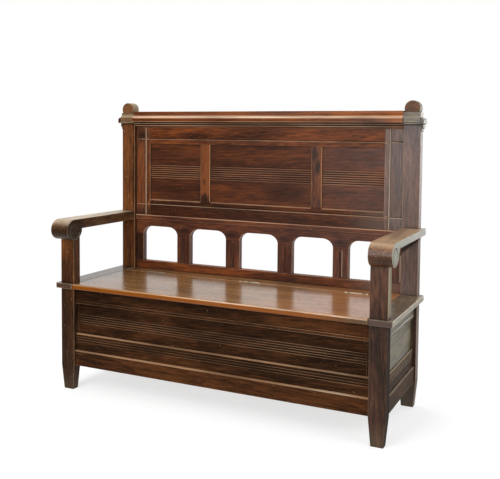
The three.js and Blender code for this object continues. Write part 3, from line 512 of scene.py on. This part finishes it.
def touch_of(face, shortest, line_light):
    """How a narrow face is coloured: above 0 pale, from wear and painted highlight; below 0 dark, from dirt
    and painted shade; 0 for a plain face.
    """
    if is_line_wall(face, shortest):
        # The wall of a carved line that faces away from the light gets painted shade, and the lit wall a
        # painted highlight, with dust on the broad ones.
        if face.normal.z + face.normal.x * LIGHT_FROM_RIGHT < LIT_WALL:
            return -LINE_LIGHT
        if width_of(face) < BROAD_LINE:
            return line_light
        is_upright = abs(face.normal.x) > abs(face.normal.z)
        return UPRIGHT_LINE_DUST_AND_HIGHLIGHT if is_upright else LEVEL_LINE_DUST_AND_HIGHLIGHT
    turns = turns_of(face)
    if not turns or width_of(face) > CHAMFER_WIDTH:
        return 0
    if len(turns) > 1 and max(turns) < 0:
        return -HOLLOW_DARKENING
    if any(is_line_wall(other) for edge in face.edges for other in edge.link_faces):
        return -LAND_DARKENING
    if min(turns) > 0 and max(turns) > SHARP and face.normal.z > UNDERSIDE:
        return CHAMFER_LIGHT
    return 0


print("a carved line is at most", LINE_WIDTH * 1000, "mm wide a side")

# %% [markdown]
# A new board has sharp corners, and a hundred years of dusting round them. A Bevel modifier would do that
# in one step, but it would also blunt the lips of the carved lines, which are finer than the rounding. So
# each wooden piece is a copy of its solid, welded and with its flat faces joined, and a bevel rounds only
# the outer corners that have room for it. Corners that turn inwards stay as they are. A corner that lies
# against another board is a joint: no cloth reaches it, and dirt stays in it. A search tree of each
# solid's surface tells which corners those are.

# %% Rounded corners
ARRIS = 0.0014
WELD = 0.00001
FLAT = math.radians(0.4)
JOINT_DIRT = 0.35
JOINT_REACH = 0.0019


def surface_of(node):
    """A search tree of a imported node's surface, and the two corners of the box round it."""
    shape = bmesh.new()
    shape.from_mesh(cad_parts[node].data)
    surface = BVHTree.FromBMesh(shape)
    low = [min(point.co[axis] for point in shape.verts) - JOINT_REACH for axis in range(3)]
    high = [max(point.co[axis] for point in shape.verts) + JOINT_REACH for axis in range(3)]
    shape.free()
    return surface, low, high


SURFACES = {node: surface_of(node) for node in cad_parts}


def lies_in_joint(place, node):
    """True where a point of a node is as good as touching some other node."""
    for other, (surface, low, high) in SURFACES.items():
        if other != node and all(low[axis] < place[axis] < high[axis] for axis in range(3)):
            if surface.find_nearest(place, JOINT_REACH)[0] is not None:
                return True
    return False


def is_outer_corner(edge, arris):
    """True for an outward corner whose two faces are wide enough for the rounding."""
    if len(edge.link_faces) != 2 or edge.calc_face_angle_signed(0) < SHARP:
        return False
    if any(is_line_wall(face) for face in edge.link_faces):
        return False
    return all(face.calc_area() / edge.calc_length() > 2 * arris for face in edge.link_faces)


def rounded_copy(node, arris, shortest=LONG, line_light=LINE_LIGHT):
    """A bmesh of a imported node, welded, aged face by face, and with its outer corners rounded."""
    shape = bmesh.new()
    shape.from_mesh(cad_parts[node].data)
    bmesh.ops.remove_doubles(shape, verts=shape.verts, dist=WELD)
    bmesh.ops.dissolve_limit(shape, angle_limit=FLAT, verts=shape.verts, edges=shape.edges)
    touch = shape.faces.layers.float.new(TOUCH)
    for face in shape.faces:
        face[touch] = touch_of(face, shortest, line_light)
    corners = [edge for edge in shape.edges if is_outer_corner(edge, arris)]
    rounded = bmesh.ops.bevel(
        shape, geom=corners, offset=arris, offset_type="OFFSET", segments=3, profile=0.5,
        affect="EDGES", clamp_overlap=True, material=-1,
    )
    for face in rounded["faces"]:
        face[touch] = -JOINT_DIRT if lies_in_joint(face.calc_center_median(), node) else 1
    return shape


print("rounding checked on", len(rounded_copy("front_post_left", ARRIS).faces), "faces of a post")

# %% [markdown]
# No two boards come from the same place in a tree. Each piece gets a heart at its own side and depth, and
# a slight lean. They could be chosen by hand for every piece, but a chance that the piece's name decides
# does it for all, and gives the same grain in every render. Smooth shading with weighted normals keeps the
# flat faces flat beside their rounded corners.

# %% Grain and boards
AXES = {"X": 0, "Y": 1, "Z": 2}
SMOOTH = math.radians(33)
TREE_LENGTH = 20
HEART_SIDE = 0.05
HEART_NEAR = 0.05
HEART_FAR = 0.12
LEAN = 0.06


def lay_grain(mesh, grain, name):
    """Writes where each point lay in its tree: along the grain, and across from the heart."""
    chance = random.Random(name)
    first = AXES[grain]
    heart_side = chance.uniform(-HEART_SIDE, HEART_SIDE)
    heart_depth = chance.choice((-1, 1)) * chance.uniform(HEART_NEAR, HEART_FAR)
    lean = chance.uniform(-LEAN, LEAN)
    along_shift = chance.uniform(0, TREE_LENGTH)
    places = mesh.attributes.new(GRAIN, "FLOAT_VECTOR", "POINT")
    for point, place in zip(mesh.vertices, places.data):
        along = point.co[first] + along_shift
        across = point.co[(first + 1) % 3] + heart_side + lean * point.co[first]
        through = point.co[(first + 2) % 3] + heart_depth - lean * point.co[first]
        place.vector = (along, across, through)


def finish_piece(item, material, body):
    """Smooth shading with crisp sharp edges, one material, and the piece's body."""
    item.data.materials.clear()
    item.data.materials.append(material)
    item.data.shade_smooth()
    item.data.set_sharp_from_angle(angle=SMOOTH)
    weighted = item.modifiers.new("even shading", "WEIGHTED_NORMAL")
    weighted.keep_sharp = True
    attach(item, body)


def board(
    node, grain, material,
    arris=ARRIS, tone=0, fade=(0, 0, 0), body="bench", shortest=LONG, line_light=LINE_LIGHT,
):
    """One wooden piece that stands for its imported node. It is paler by the tone, and by the fade a metre."""
    item = plain_object(node + "_wood", rounded_copy(node, arris, shortest, line_light))
    lay_grain(item.data, grain, node)
    tones = item.data.attributes.new(TONE, "FLOAT", "POINT")
    for point, mark in zip(item.data.vertices, tones.data):
        mark.value = tone + point.co.dot(Vector(fade))
    finish_piece(item, material, body)
    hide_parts(node)


print("smooth up to", round(math.degrees(SMOOTH)), "degrees")

# %% [markdown]
# The posts are stained a warm brown, greyer on the right. Each finish is given by four colours, from its
# dark rings to its worn edges, whose colour also paints highlights, and by its roughness and gloss. Wear could
# be painted on by hand, but a short function is easier to read and to change: it finds what has worn, and
# where light and shade are painted, from where a point lies on the bench and from which way it faces there.
# What faces right carries a painted sheen that stands for the light from that side, and the corner of the
# right back post under its arm carries a painted shadow, the darkest place of all.

# %% Finishes of the posts
FOOT_REACH = 0.10
OLIVE_FADES = (0.07, 0.16)
BELOW_SEAT = (0.42, 0.43)
ABOVE_SEAT = (0.44, 0.47)
ARM_UNDERSIDE = 0.677
ARM_BLUR = 0.003
UNDER_ARM_SLOPE = 0.88
UNDER_ARM_START = 0.043
UNDER_ARM_BLUR = 0.016


def foot_of_post(tree):
    """The bottom of a post, which shoes and brooms have knocked."""
    return tree.rise(FOOT_REACH - tree.place("Z"), 0, FOOT_REACH) * 0.1


def foot_and_outer_side(tree):
    """The worn bottom of a post, and above the seat its right side, with a painted sheen of the light from the
    right.
    """
    outer_side = tree.rise(tree.facing("X"), 0.5, 0.9) * tree.rise(tree.place("Z"), *ABOVE_SEAT) * 0.75
    return tree.larger(outer_side, foot_of_post(tree))


def shaded_side(tree):
    """Painted shade on the right side of a post below the seat, which is also made duller."""
    return tree.rise(tree.facing("X"), 0.35, 0.8) * (1 - tree.rise(tree.place("Z"), *BELOW_SEAT)) * 0.8


def arm_shadow_on_post(tree):
    """Painted shadow of the arm on the corner of a back post under it, deeper towards the inside."""
    height = tree.place("Z")
    above_slope = tree.rise(
        height - tree.place("X") * UNDER_ARM_SLOPE, UNDER_ARM_START, UNDER_ARM_START + UNDER_ARM_BLUR,
    )
    return above_slope * (1 - tree.rise(height, ARM_UNDERSIDE, ARM_UNDERSIDE + ARM_BLUR)) * 0.9


def olive_foot(tree):
    """The foot of the right back post, dirty from wet floors."""
    return (1 - tree.rise(tree.place("Z"), *OLIVE_FADES)) * 0.55


post_finish = wood_finish(
    "post_wood_stain", colour(42, 25, 14), colour(80, 47, 26), colour(136, 80, 40), colour(222, 186, 142),
    0.40, 0.14, rub_and_highlight=1, wear_and_highlight_part=foot_of_post,
)
# Its worn part paints a sheen on the right side above the seat, and its tint paints shade on that side below
# the seat.
grey_post_finish = wood_finish(
    "post_wood_grey", colour(38, 25, 18), colour(77, 49, 36), colour(125, 81, 57), colour(196, 176, 138),
    0.38, 0.26, rub_and_highlight=0.4, wear_and_highlight_part=foot_and_outer_side, tints=((shaded_side, colour(34, 22, 15), 0.7),),
)
# Its first tint is a painted shadow of the right arm on the back post, and the second is olive dirt at the
# foot.
hazy_finish = wood_finish(
    "frame_wood_haze", colour(48, 32, 25), colour(84, 57, 46), colour(128, 88, 70), colour(214, 172, 134),
    0.34, 0.56, wear_and_highlight_part=foot_of_post,
    tints=((arm_shadow_on_post, colour(22, 15, 10), 0.6), (olive_foot, colour(72, 64, 38), 0.3)),
)
print("finishes so far", len(bpy.data.materials))

# %% [markdown]
# The caps, mouldings and finials stand highest, where dust lies, and what faces up or right on them carries a
# painted sheen of the light, so they are among the palest wood of the bench. The grey of the right cap and its
# moulding is a painted sheen too. Their ledges could be picked out by hand, but a rule on the slope of a face
# finds them all.

# %% Finishes of the caps and finials
FRAME_COLOURS = colour(46, 25, 15), colour(84, 46, 26), colour(142, 78, 38), colour(220, 164, 118)


def ledge_dust_and_sheen(tree):
    """What faces up or right on a small block: dust on what faces up, and a painted sheen of the light on
    both.
    """
    return tree.larger(tree.rise(tree.facing("Z"), 0.15, 0.7), tree.rise(tree.facing("X"), 0.4, 0.9)) * 0.6


cap_finish = wood_finish(
    "cap_wood_dust_and_sheen", colour(62, 44, 28), colour(106, 77, 51), colour(150, 113, 74), colour(226, 204, 166),
    0.34, 0.4, rub_and_highlight=0.45, wear_and_highlight_part=ledge_dust_and_sheen,
)
# The grey of this finish is a painted sheen of the light from the right, on the right cap and its moulding.
grey_cap_finish = wood_finish(
    "cap_wood_grey", colour(54, 47, 38), colour(98, 86, 72), colour(142, 124, 104), colour(204, 194, 174),
    0.34, 0.45, rub_and_highlight=0.35, flecks=0.5, wear_and_highlight_part=ledge_dust_and_sheen,
)
waxed_finish = wood_finish("frame_wood_wax", *FRAME_COLOURS, 0.34, 0.5)
finial_finish = wood_finish(
    "finial_wood_stain", colour(80, 50, 28), colour(124, 78, 44), colour(156, 104, 62), colour(160, 150, 122),
    0.40, 0.25, rub_and_highlight=0.5, wear_and_highlight_part=ledge_dust_and_sheen,
)
print("finishes so far", len(bpy.data.materials))

# %% [markdown]
# The four posts are cut along the grain from squared stock, and their feet taper. The back posts carry a
# cap, an outer moulding and a disc finial. Each could be modelled anew, but its solid has the true shape
# already, so only its corners are rounded and its grain is laid: upright in the posts, across in the caps,
# and from front to back in the mouldings and discs.

# %% Posts and their tops
board("front_post_left", "Z", post_finish, tone=-1.2, fade=(0, 0, 2.8))
board("front_post_right", "Z", grey_post_finish, tone=-1, fade=(0, 0, 2))
board("post_cap_left", "X", cap_finish, tone=0.3)
board("post_cap_right", "X", grey_cap_finish, tone=0.9)
board("side_moulding_left", "Y", waxed_finish)
board("side_moulding_right", "Y", grey_cap_finish, tone=-0.6)
board("finial_left", "Y", finial_finish, tone=0.2)
board("finial_right", "Y", finial_finish, tone=-0.4)
board("back_post_left", "Z", post_finish, tone=0.5)
board("back_post_right", "Z", hazy_finish, tone=-0.1)

# %% [markdown]
# A painted highlight lies on the slope of the crest rail, and single dark stains and pale places lie along it.
# Noise would put such places anywhere. Oval patches put them where they are: each has a centre on the
# bench, a reach along each axis, and a strength that is above 0 where it is pale.

# %% Finish of the crest rail
CREST_DEPTH = 0.2
CREST_SLOPE = 1.170
CREST_FACE = 1.138
CREST_PATCHES = (
    ((0.64, CREST_DEPTH, CREST_SLOPE), (0.14, 0.2, 0.200), 0.22),
    ((0.47, CREST_DEPTH, CREST_SLOPE), (0.38, 0.2, 0.018), 0.16),
    ((-0.42, CREST_DEPTH, CREST_SLOPE), (0.34, 0.2, 0.018), -0.07),
    ((-0.10, CREST_DEPTH, CREST_FACE), (0.34, 0.2, 0.014), -0.10),
    ((-0.50, CREST_DEPTH, CREST_FACE), (0.20, 0.2, 0.014), -0.06),
)


def crest_slope_highlight(tree):
    """Painted highlight on the slope of the crest rail's front, where it mirrors the lamp above."""
    upward = tree.facing("Z")
    return tree.rise(upward, 0.45, 0.7) * (1 - tree.rise(upward, 0.90, 0.97)) * 0.85


crest_finish = wood_finish(
    "crest_wood_polish", colour(70, 34, 16), colour(116, 60, 26), colour(162, 86, 32), colour(226, 190, 156),
    0.28, 0.17, rub_and_highlight=0.5, flecks=0.15, wear_and_highlight_part=crest_slope_highlight, patches=CREST_PATCHES,
)
print("crest patches", len(CREST_PATCHES))

# %% [markdown]
# The back's frame has a redder stain on its rails than on its upright parts, and dark spots round the
# knots of its muntins. The panels are broad thin boards, so their rings lie further apart than those of
# the rails, and the right panel's lines hold the most dust, with the strongest painted highlight. One finish
# with a tone for each piece would nearly do, but gloss and dust differ too, so there are four.

# %% Finishes of the back
FRAME_FACE = 0.2225
HEAD_FACE = 0.2165
PANEL_FACE = 0.23
DUSTY_END = (0.36, 0.56)
ABOVE_BOTTOM_RAIL = (0.82, 0.86)
FRAME_PATCHES = (
    ((-0.60, HEAD_FACE, 0.690), (0.09, 0.05, 0.06), -0.18),
    ((-0.605, FRAME_FACE, 1.070), (0.045, 0.05, 0.045), -0.16),
    ((-0.2700, FRAME_FACE, 0.780), (0.040, 0.05, 0.040), -0.36),
    ((-0.2720, FRAME_FACE, 0.864), (0.014, 0.05, 0.022), -0.14),
    ((0.2560, FRAME_FACE, 1.000), (0.014, 0.05, 0.040), -0.26),
    ((0.2720, FRAME_FACE, 0.945), (0.012, 0.05, 0.040), -0.20),
    ((-0.3150, FRAME_FACE, 1.068), (0.110, 0.05, 0.022), -0.16),
)
PANEL_PATCHES = (
    ((-0.44, PANEL_FACE, 0.788), (0.16, 0.05, 0.028), 0.03),
    ((0, PANEL_FACE, 0.788), (0.30, 0.05, 0.032), 0.03),
    ((0.12, PANEL_FACE, 0.835), (0.15, 0.05, 0.050), -0.14),
    ((0.10, PANEL_FACE, 0.980), (0.22, 0.05, 0.060), 0.07),
    ((-0.18, PANEL_FACE, 0.845), (0.10, 0.05, 0.045), 0.10),
)


def dusty_right_end(tree):
    """The right end of the back's bottom rail, above the arm, where no duster gets."""
    low = 1 - tree.rise(tree.place("Z"), *ABOVE_BOTTOM_RAIL)
    return tree.rise(tree.place("X"), *DUSTY_END) * low * 0.35


frame_finish = wood_finish("frame_wood_stain", *FRAME_COLOURS, 0.36, 0.30, rub_and_highlight=0.85, patches=FRAME_PATCHES)
rail_finish = wood_finish(
    "rail_wood_stain", colour(52, 25, 11), colour(92, 46, 21), colour(150, 79, 34), colour(204, 152, 112),
    0.42, 0.20, rub_and_highlight=0.55, patches=FRAME_PATCHES, tints=((dusty_right_end, colour(140, 120, 106), 0.2),),
)
panel_finish = wood_finish(
    "panel_wood_stain", colour(48, 26, 16), colour(80, 43, 25), colour(128, 66, 30), colour(172, 120, 82),
    0.36, 0.20, rub_and_highlight=0.6, ring_gap=0.012, figure=0.4, flecks=0.22, patches=PANEL_PATCHES,
)
dusted_and_lit_panel_finish = wood_finish(
    "panel_wood_dusty", colour(52, 28, 18), colour(88, 47, 29), colour(138, 72, 36), colour(178, 132, 92),
    0.36, 0.26, rub_and_highlight=0.6, ring_gap=0.012, figure=0.4, flecks=0.22, dust_and_highlight=2.5,
)
print("finishes so far", len(bpy.data.materials))

# %% [markdown]
# The back is a frame under the crest rail, with three thin panels in its grooves. Rails run across, stiles
# and muntins stand, and the panels are laid with their figure across, as their carved lines run. One
# rounding could serve for all, but thin boards have crisper corners, so the panels get a finer one.

# %% Back frame and panels
PANEL_ARRIS = 0.0008

board("crest_rail", "X", crest_finish)
board("back_top_rail", "X", rail_finish, tone=0.4, fade=(-1.0, 0, 0))
board("back_bottom_rail", "X", rail_finish, tone=-0.9)
board("back_stile_left", "Z", frame_finish, tone=0.3)
board("back_stile_right", "Z", hazy_finish, tone=0.3)
board("back_muntin_left", "Z", frame_finish, tone=1.5)
board("back_muntin_right", "Z", frame_finish, tone=-0.1)
board("back_panel_left", "X", panel_finish, arris=PANEL_ARRIS, tone=-0.1)
board("back_panel_centre", "X", panel_finish, arris=PANEL_ARRIS)
board("back_panel_right", "X", dusted_and_lit_panel_finish, arris=PANEL_ARRIS, tone=0.3)

# %% [markdown]
# The arcade is stained like the frame. One lip of a flute catches the light along its whole length, and so
# does a line on the end stile. The lamps alone draw them too faintly, so both are narrow bands of colour
# at their places on the bench.

# %% Finish of the arcade
MUNTIN_PLACES = (-0.3777, -0.1259, 0.1259, 0.3777)
# Painted shade on the heads of the muntins, just under the head rail.
ARCADE_PATCHES = tuple(((place, FRAME_FACE, 0.634), (0.060, 0.05, 0.026), -0.12) for place in MUNTIN_PLACES)
FLUTE_LIP = (0.3828, 0.3855)
STILE_LINE = (0.6285, 0.6312)
LINE_BLUR = 0.001
FLUTE_HEIGHTS = (0.500, 0.596)
FLUTE_BLUR = 0.010
FLUTE_DEPTHS = (0.229, 0.232)


def lit_lip(tree):
    """The right lip of the flute at the right, and a line like it on the end stile."""
    across = tree.place("X")
    lines = tree.band(across, FLUTE_LIP, LINE_BLUR) + tree.band(across, STILE_LINE, LINE_BLUR)
    along = tree.band(tree.place("Z"), FLUTE_HEIGHTS, FLUTE_BLUR)
    return lines * along * (1 - tree.rise(tree.place("Y"), *FLUTE_DEPTHS)) * 0.8


arcade_finish = wood_finish(
    "arcade_wood_stain", colour(44, 23, 17), colour(86, 47, 32), colour(134, 74, 42), colour(208, 158, 122),
    0.36, 0.30, rub_and_highlight=0.8, patches=ARCADE_PATCHES, tints=((lit_lip, colour(188, 172, 152), 0),),
)
print("shaded heads of muntins", len(ARCADE_PATCHES))

# %% [markdown]
# The arcade is joined from a sill, four fluted muntins, two stiles and a head rail that is cut to the
# round tops of the bays. The muntins differ only in how dark they are, so a loop makes them. The stiles
# differ in their finish too, so each has its own line.

# %% Arcade
MUNTIN_ARRIS = 0.0012
STILE_ARRIS = 0.001
MUNTIN_TONES = (-0.5, -0.3, 0.15, 0.1)

board("arcade_head_rail", "X", arcade_finish, tone=0.3)
board("arcade_sill_rail", "X", rail_finish)
for number, tone in enumerate(MUNTIN_TONES, 1):
    board("arcade_muntin_%d" % number, "Z", arcade_finish, arris=MUNTIN_ARRIS, tone=tone)
board("arcade_stile_left", "Z", frame_finish, arris=STILE_ARRIS, tone=-0.8)
board("arcade_stile_right", "Z", arcade_finish, arris=STILE_ARRIS, tone=-0.3)

# %% [markdown]
# The seat is polished by use and mirrors the open bays. Its front edge is rubbed pale above, with a painted
# highlight along it, and keeps orange varnish below. The right half of its top is painted lighter, where
# more light falls, and is redder, and its underside was never polished. Each part could have a material of
# its own, but the borders would be hard lines, so one finish holds them all. Its patches are painted shade
# on the lower lip of that edge where it curves under, its dark right end, a knot, and a painted shadow on
# the strip behind the lid.

# %% Finish of the seat
SEAT_TOP = 0.4500
SEAT_UNDERSIDE = 0.4286
SEAT_EDGE_MIDDLE = 0.4380
NOSE_FRONT = -0.2255
BEHIND_NOSE = (-0.20, -0.18)
RUBBED_TO_RIGHT = (-0.62, 0.1)
LIGHTER_RIGHT = (-0.3, 0.5)
RED_RIGHT = (0.05, 0.50)
ORANGE_ENDS = (0.40, 0.62)
# The first patch is painted shade where the edge's lower lip curves under, and the last a painted shadow on
# the strip behind the lid.
LID_PATCHES = (
    ((0, NOSE_FRONT, SEAT_UNDERSIDE), (3, 0.012, 0.007), -0.5),
    ((0.62, NOSE_FRONT, SEAT_EDGE_MIDDLE), (0.20, 0.012, 0.014), -0.8),
    ((0.2838, -0.0787, SEAT_TOP), (0.006, 0.006, 0.01), -0.6),
    ((0.45, 0.205, SEAT_TOP), (0.34, 0.045, 0.03), -0.22),
)


def seat_surface(tree):
    """The level top of the seat."""
    return tree.rise(tree.place("Z"), SEAT_TOP - 0.0010, SEAT_TOP - 0.0001)


def seat_wear_and_light(tree):
    """The lid's rounded front edge, where legs rub, with a painted highlight along its top, and faintly the
    right half of its top, painted lighter where more light falls.
    """
    across = tree.place("X")
    upper_edge = tree.rise(tree.place("Z"), SEAT_TOP - 0.0060, SEAT_TOP - 0.0025) * 0.95
    front = tree.rise(0 - tree.place("Y"), -NOSE_FRONT - 0.0060, -NOSE_FRONT - 0.0012)
    nose = front * upper_edge * (tree.rise(across, *RUBBED_TO_RIGHT) * 0.7 + 0.2)
    return tree.larger(nose, tree.rise(across, *LIGHTER_RIGHT) * seat_surface(tree) * 0.2)


def front_of_nose(tree):
    """The upright front of the lid's edge, where the old varnish is still orange."""
    on_front = tree.rise(0 - tree.facing("Y"), 0.5, 0.9) * (1 - tree.rise(tree.place("Y"), *BEHIND_NOSE))
    below_edge = 1 - tree.rise(tree.place("Z"), SEAT_TOP - 0.0070, SEAT_TOP - 0.0030)
    return on_front * below_edge * (1 - tree.rise(tree.place("X"), *ORANGE_ENDS)) * 0.95


def reddened_right(tree):
    """The right part of the lid's top, where more of the red stain is left."""
    return tree.rise(tree.place("X"), *RED_RIGHT) * seat_surface(tree) * 0.4


def underside(tree):
    """What faces down and was never polished."""
    return tree.rise(0 - tree.facing("Z"), 0.5, 0.9) * 0.5


lid_finish = wood_finish(
    "seat_wood_polish", colour(98, 69, 42), colour(140, 100, 61), colour(174, 127, 77), colour(240, 186, 138),
    0.17, 0.64, ring_gap=0.010, figure=0.25, flecks=0.12, wear_and_highlight_part=seat_wear_and_light, patches=LID_PATCHES,
    tints=(
        (front_of_nose, colour(148, 78, 6), 0),
        (reddened_right, colour(190, 112, 50), 0),
        (underside, colour(62, 40, 24), 0.5),
    ),
)
print("nose of the seat from", NOSE_FRONT, "m, top at", SEAT_TOP, "m")

# %% [markdown]
# Hands have worn the tops of the arms, less so where they start to roll over. The right arm and the right
# seat end carry a painted sheen on the side that faces the light, so the two sides of the bench can't
# share their finishes. The battens under the lid, like all boards inside the box and behind it, were never
# polished.

# %% Finishes of the arms and seat ends
ROLL_STARTS = (-0.225, -0.150)
LEFT_ARM_PATCHES = (
    ((-0.636, -0.2025, 0.670), (0.035, 0.08, 0.07), -0.6),
    ((-0.683, -0.2500, 0.660), (0.090, 0.04, 0.035), -0.22),
)
RIGHT_ARM_PATCHES = (((0.683, -0.2500, 0.655), (0.090, 0.04, 0.030), -0.06),)
SEAT_END_PATCHES = (((0.68, NOSE_FRONT, SEAT_EDGE_MIDDLE), (0.10, 0.012, 0.016), -0.3),)


def top_of_arm(tree):
    """The part of an arm that faces up, where hands lie, and less so where it starts to roll over."""
    behind_roll = tree.rise(tree.place("Y"), *ROLL_STARTS)
    return tree.rise(tree.facing("Z"), 0.35, 0.95) * (behind_roll * 0.16 + 0.46)


def arm_side_sheen(tree):
    """Painted sheen on the right side of an arm, standing for the light from that side."""
    return tree.rise(tree.facing("X"), 0.5, 0.95) * 0.62


def front_of_end(tree):
    """The upright front of a seat end, which keeps its brown stain."""
    return tree.rise(0 - tree.facing("Y"), 0.45, 0.9) * 0.8


def seat_end_sheen(tree):
    """Painted sheen on the right side of a seat end, standing for the light from that side."""
    return tree.rise(tree.facing("X"), 0.4, 0.9) * 0.55


left_arm_finish = wood_finish(
    "arm_wood_dark", colour(54, 36, 22), colour(94, 64, 41), colour(140, 99, 63), colour(246, 222, 190),
    0.36, 0.2, rub_and_highlight=0.5, wear_and_highlight_part=top_of_arm, patches=LEFT_ARM_PATCHES,
)
right_arm_finish = wood_finish(
    "arm_wood_bleached", colour(54, 32, 20), colour(98, 60, 38), colour(146, 96, 60), colour(224, 186, 146),
    0.32, 0.42, rub_and_highlight=0.95, flecks=0.45, wear_and_highlight_part=top_of_arm, patches=RIGHT_ARM_PATCHES,
    tints=((arm_side_sheen, colour(174, 176, 158), 0),),
)
seat_end_finish = wood_finish(
    "seat_end_wood_polish",
    colour(52, 42, 30), colour(98, 80, 60), colour(146, 118, 88), colour(208, 196, 174),
    0.30, 0.8, rub_and_highlight=0.9, flecks=0.5, wear_and_highlight_part=seat_end_sheen, patches=SEAT_END_PATCHES,
    tints=((front_of_end, colour(84, 50, 34), 0.3),),
)
dull_end_finish = wood_finish(
    "seat_end_wood_dull", colour(50, 36, 27), colour(82, 58, 43), colour(114, 84, 60), colour(204, 174, 144),
    0.24, 0.8,
)
inner_finish = wood_finish(
    "unpolished_wood", colour(62, 44, 32), colour(92, 68, 50), colour(122, 92, 66), colour(140, 112, 86),
    0.62, 0.25, rub_and_highlight=0.3,
)
print("finishes so far", len(bpy.data.materials))

# %% [markdown]
# The arm boards keep their grain along their length, also where they roll over. The line that is carved
# round a scroll is built of short steps, which the rule for long lines would pass over, so here edges as
# short as a step count too. The fixed seat ends are notched round the posts. The lid and its two battens
# belong to the body that turns up on the hinges.

# %% Arms and seat
ARM_ARRIS = 0.003
SCROLL_STEP = 0.0045

for side, look, tone in (("left", left_arm_finish, 0.4), ("right", right_arm_finish, 0.1)):
    board("arm_" + side, "Y", look, arris=ARM_ARRIS, tone=tone, shortest=SCROLL_STEP)
board("seat_end_left", "Y", dull_end_finish)
board("seat_end_right", "Y", seat_end_finish, tone=0.4)
board("seat_back_strip", "X", lid_finish, tone=-0.3)
board("lid_board", "X", lid_finish, body="lid")
for side in ("left", "right"):
    board("lid_batten_" + side, "Y", inner_finish, body="lid")

# %% [markdown]
# The box is the darkest part and has hardly any gloss, apart from the upper boards of its sides, which are
# waxed and whose grey is a painted sheen of the light from the right. One colour for a whole side would be
# simpler, but the two lower boards, which catch less of that light, stay brown.

# %% Finishes of the box
LIT_RIGHT = (0.05, 0.62)
BESIDE_POST = (0.54, 0.63)


def right_end_of_box(tree):
    """The right part of the box's front, where the lines and ledges catch the light up to near the post."""
    across = tree.place("X")
    return tree.rise(across, *LIT_RIGHT) * (1 - tree.rise(across, *BESIDE_POST)) * 0.6


box_finish = wood_finish(
    "box_wood_stain", colour(28, 16, 8), colour(55, 33, 17), colour(98, 58, 31), colour(190, 148, 112),
    0.46, 0.05, rub_and_highlight=0.7, figure=0.4, line_contrast_part=right_end_of_box,
)
# The grey of the upper side boards is a painted sheen of the light from the right; the lower boards keep their
# brown.
side_finish = wood_finish(
    "box_side_wood_wax", colour(50, 44, 30), colour(90, 79, 57), colour(132, 114, 84), colour(176, 158, 126),
    0.36, 0.55, rub_and_highlight=0.45, figure=0.4, flecks=0.4,
)
low_side_finish = wood_finish(
    "box_side_wood_stain", colour(32, 21, 10), colour(58, 38, 21), colour(95, 62, 34), colour(164, 138, 106),
    0.48, 0.06, rub_and_highlight=0.6, figure=0.4,
)
print("finishes", [material.name for material in bpy.data.materials])

# %% [markdown]
# The box is closed at the front and at each side by four boards. The bottom rail stands furthest out, the
# two boards above it are each set back further, and the top rail stands out again, so that their edges
# make ledges. The boards have the same names on all three walls, so one loop over a table of tones makes
# them. Behind and below, where nobody looks, the boards are plain and unpolished.

# %% Storage box
FRONT_FADE = (0.2, 0, 0)
BOX_LINE_LIGHT = 0.42
HIGH_SIDE = (side_finish, 0.35)
LOW_SIDE = (low_side_finish, -0.15)
WALLS = (
    ("top_rail", 0.15, HIGH_SIDE), ("panel", -0.1, HIGH_SIDE),
    ("mid_board", 0.1, LOW_SIDE), ("bottom_rail", 0.55, LOW_SIDE),
)

for part, front_tone, (side_look, side_tone) in WALLS:
    board(
        "front_" + part, "X", box_finish,
        tone=front_tone, fade=FRONT_FADE, line_light=BOX_LINE_LIGHT,
    )
    for side in ("left", "right"):
        board("side_%s_%s" % (part, side), "Y", side_look, tone=side_tone)
for node in ("rear_upper_board", "rear_lower_board", "floor_board", "floor_cleat_front", "floor_cleat_rear"):
    board(node, "X", inner_finish)

# %% [markdown]
# The hinges of old furniture are iron that has rusted brown and been rubbed bare again in blotches. A
# single grey would look new. One noise gives the colours, the smoother bare places and the shallow pits
# between them.

# %% Iron finish
BLOTCHES = 90
PIT_DEPTH = 0.0002
iron_finish, iron = new_material("hinge_iron_worn")
iron_place = iron.add("TexCoord", output="Object")
blotch = iron.add("TexNoise", sockets={"Vector": iron_place, "Scale": BLOTCHES, "Detail": 4})
bare = iron.rise(blotch, 0.34, 0.54)
iron_colour = iron.mixed(bare, colour(90, 70, 52), colour(160, 146, 126))
iron_surface = iron.add("BsdfPrincipled", sockets={
    "Base Color": iron_colour,
    "Metallic": 0.85,
    "Roughness": 0.55 - bare * 0.2,
    "Normal": iron.add("Bump", sockets={"Height": blotch * PIT_DEPTH, "Distance": 1, "Strength": 1}),
})
iron.add("OutputMaterial", sockets={"Surface": iron_surface})
print("iron nodes", len(iron_finish.node_tree.nodes))

# %% [markdown]
# The three hinges are small, and rounded edges wouldn't show on them at this size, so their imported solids
# are shown as they are, with the iron on their slots.

# %% Hinges
HINGES = (1, 2, 3)
for number in HINGES:
    for half in ("fixed", "moving"):
        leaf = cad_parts["hinge_%s_%d" % (half, number)]
        for slot in leaf.material_slots:
            slot.material = iron_finish

# %% [markdown]
# The picture is shown with the plain view transform, so a colour on the bench is the colour in the render.

# %% View transform
bpy.context.scene.view_settings.view_transform = "Standard"
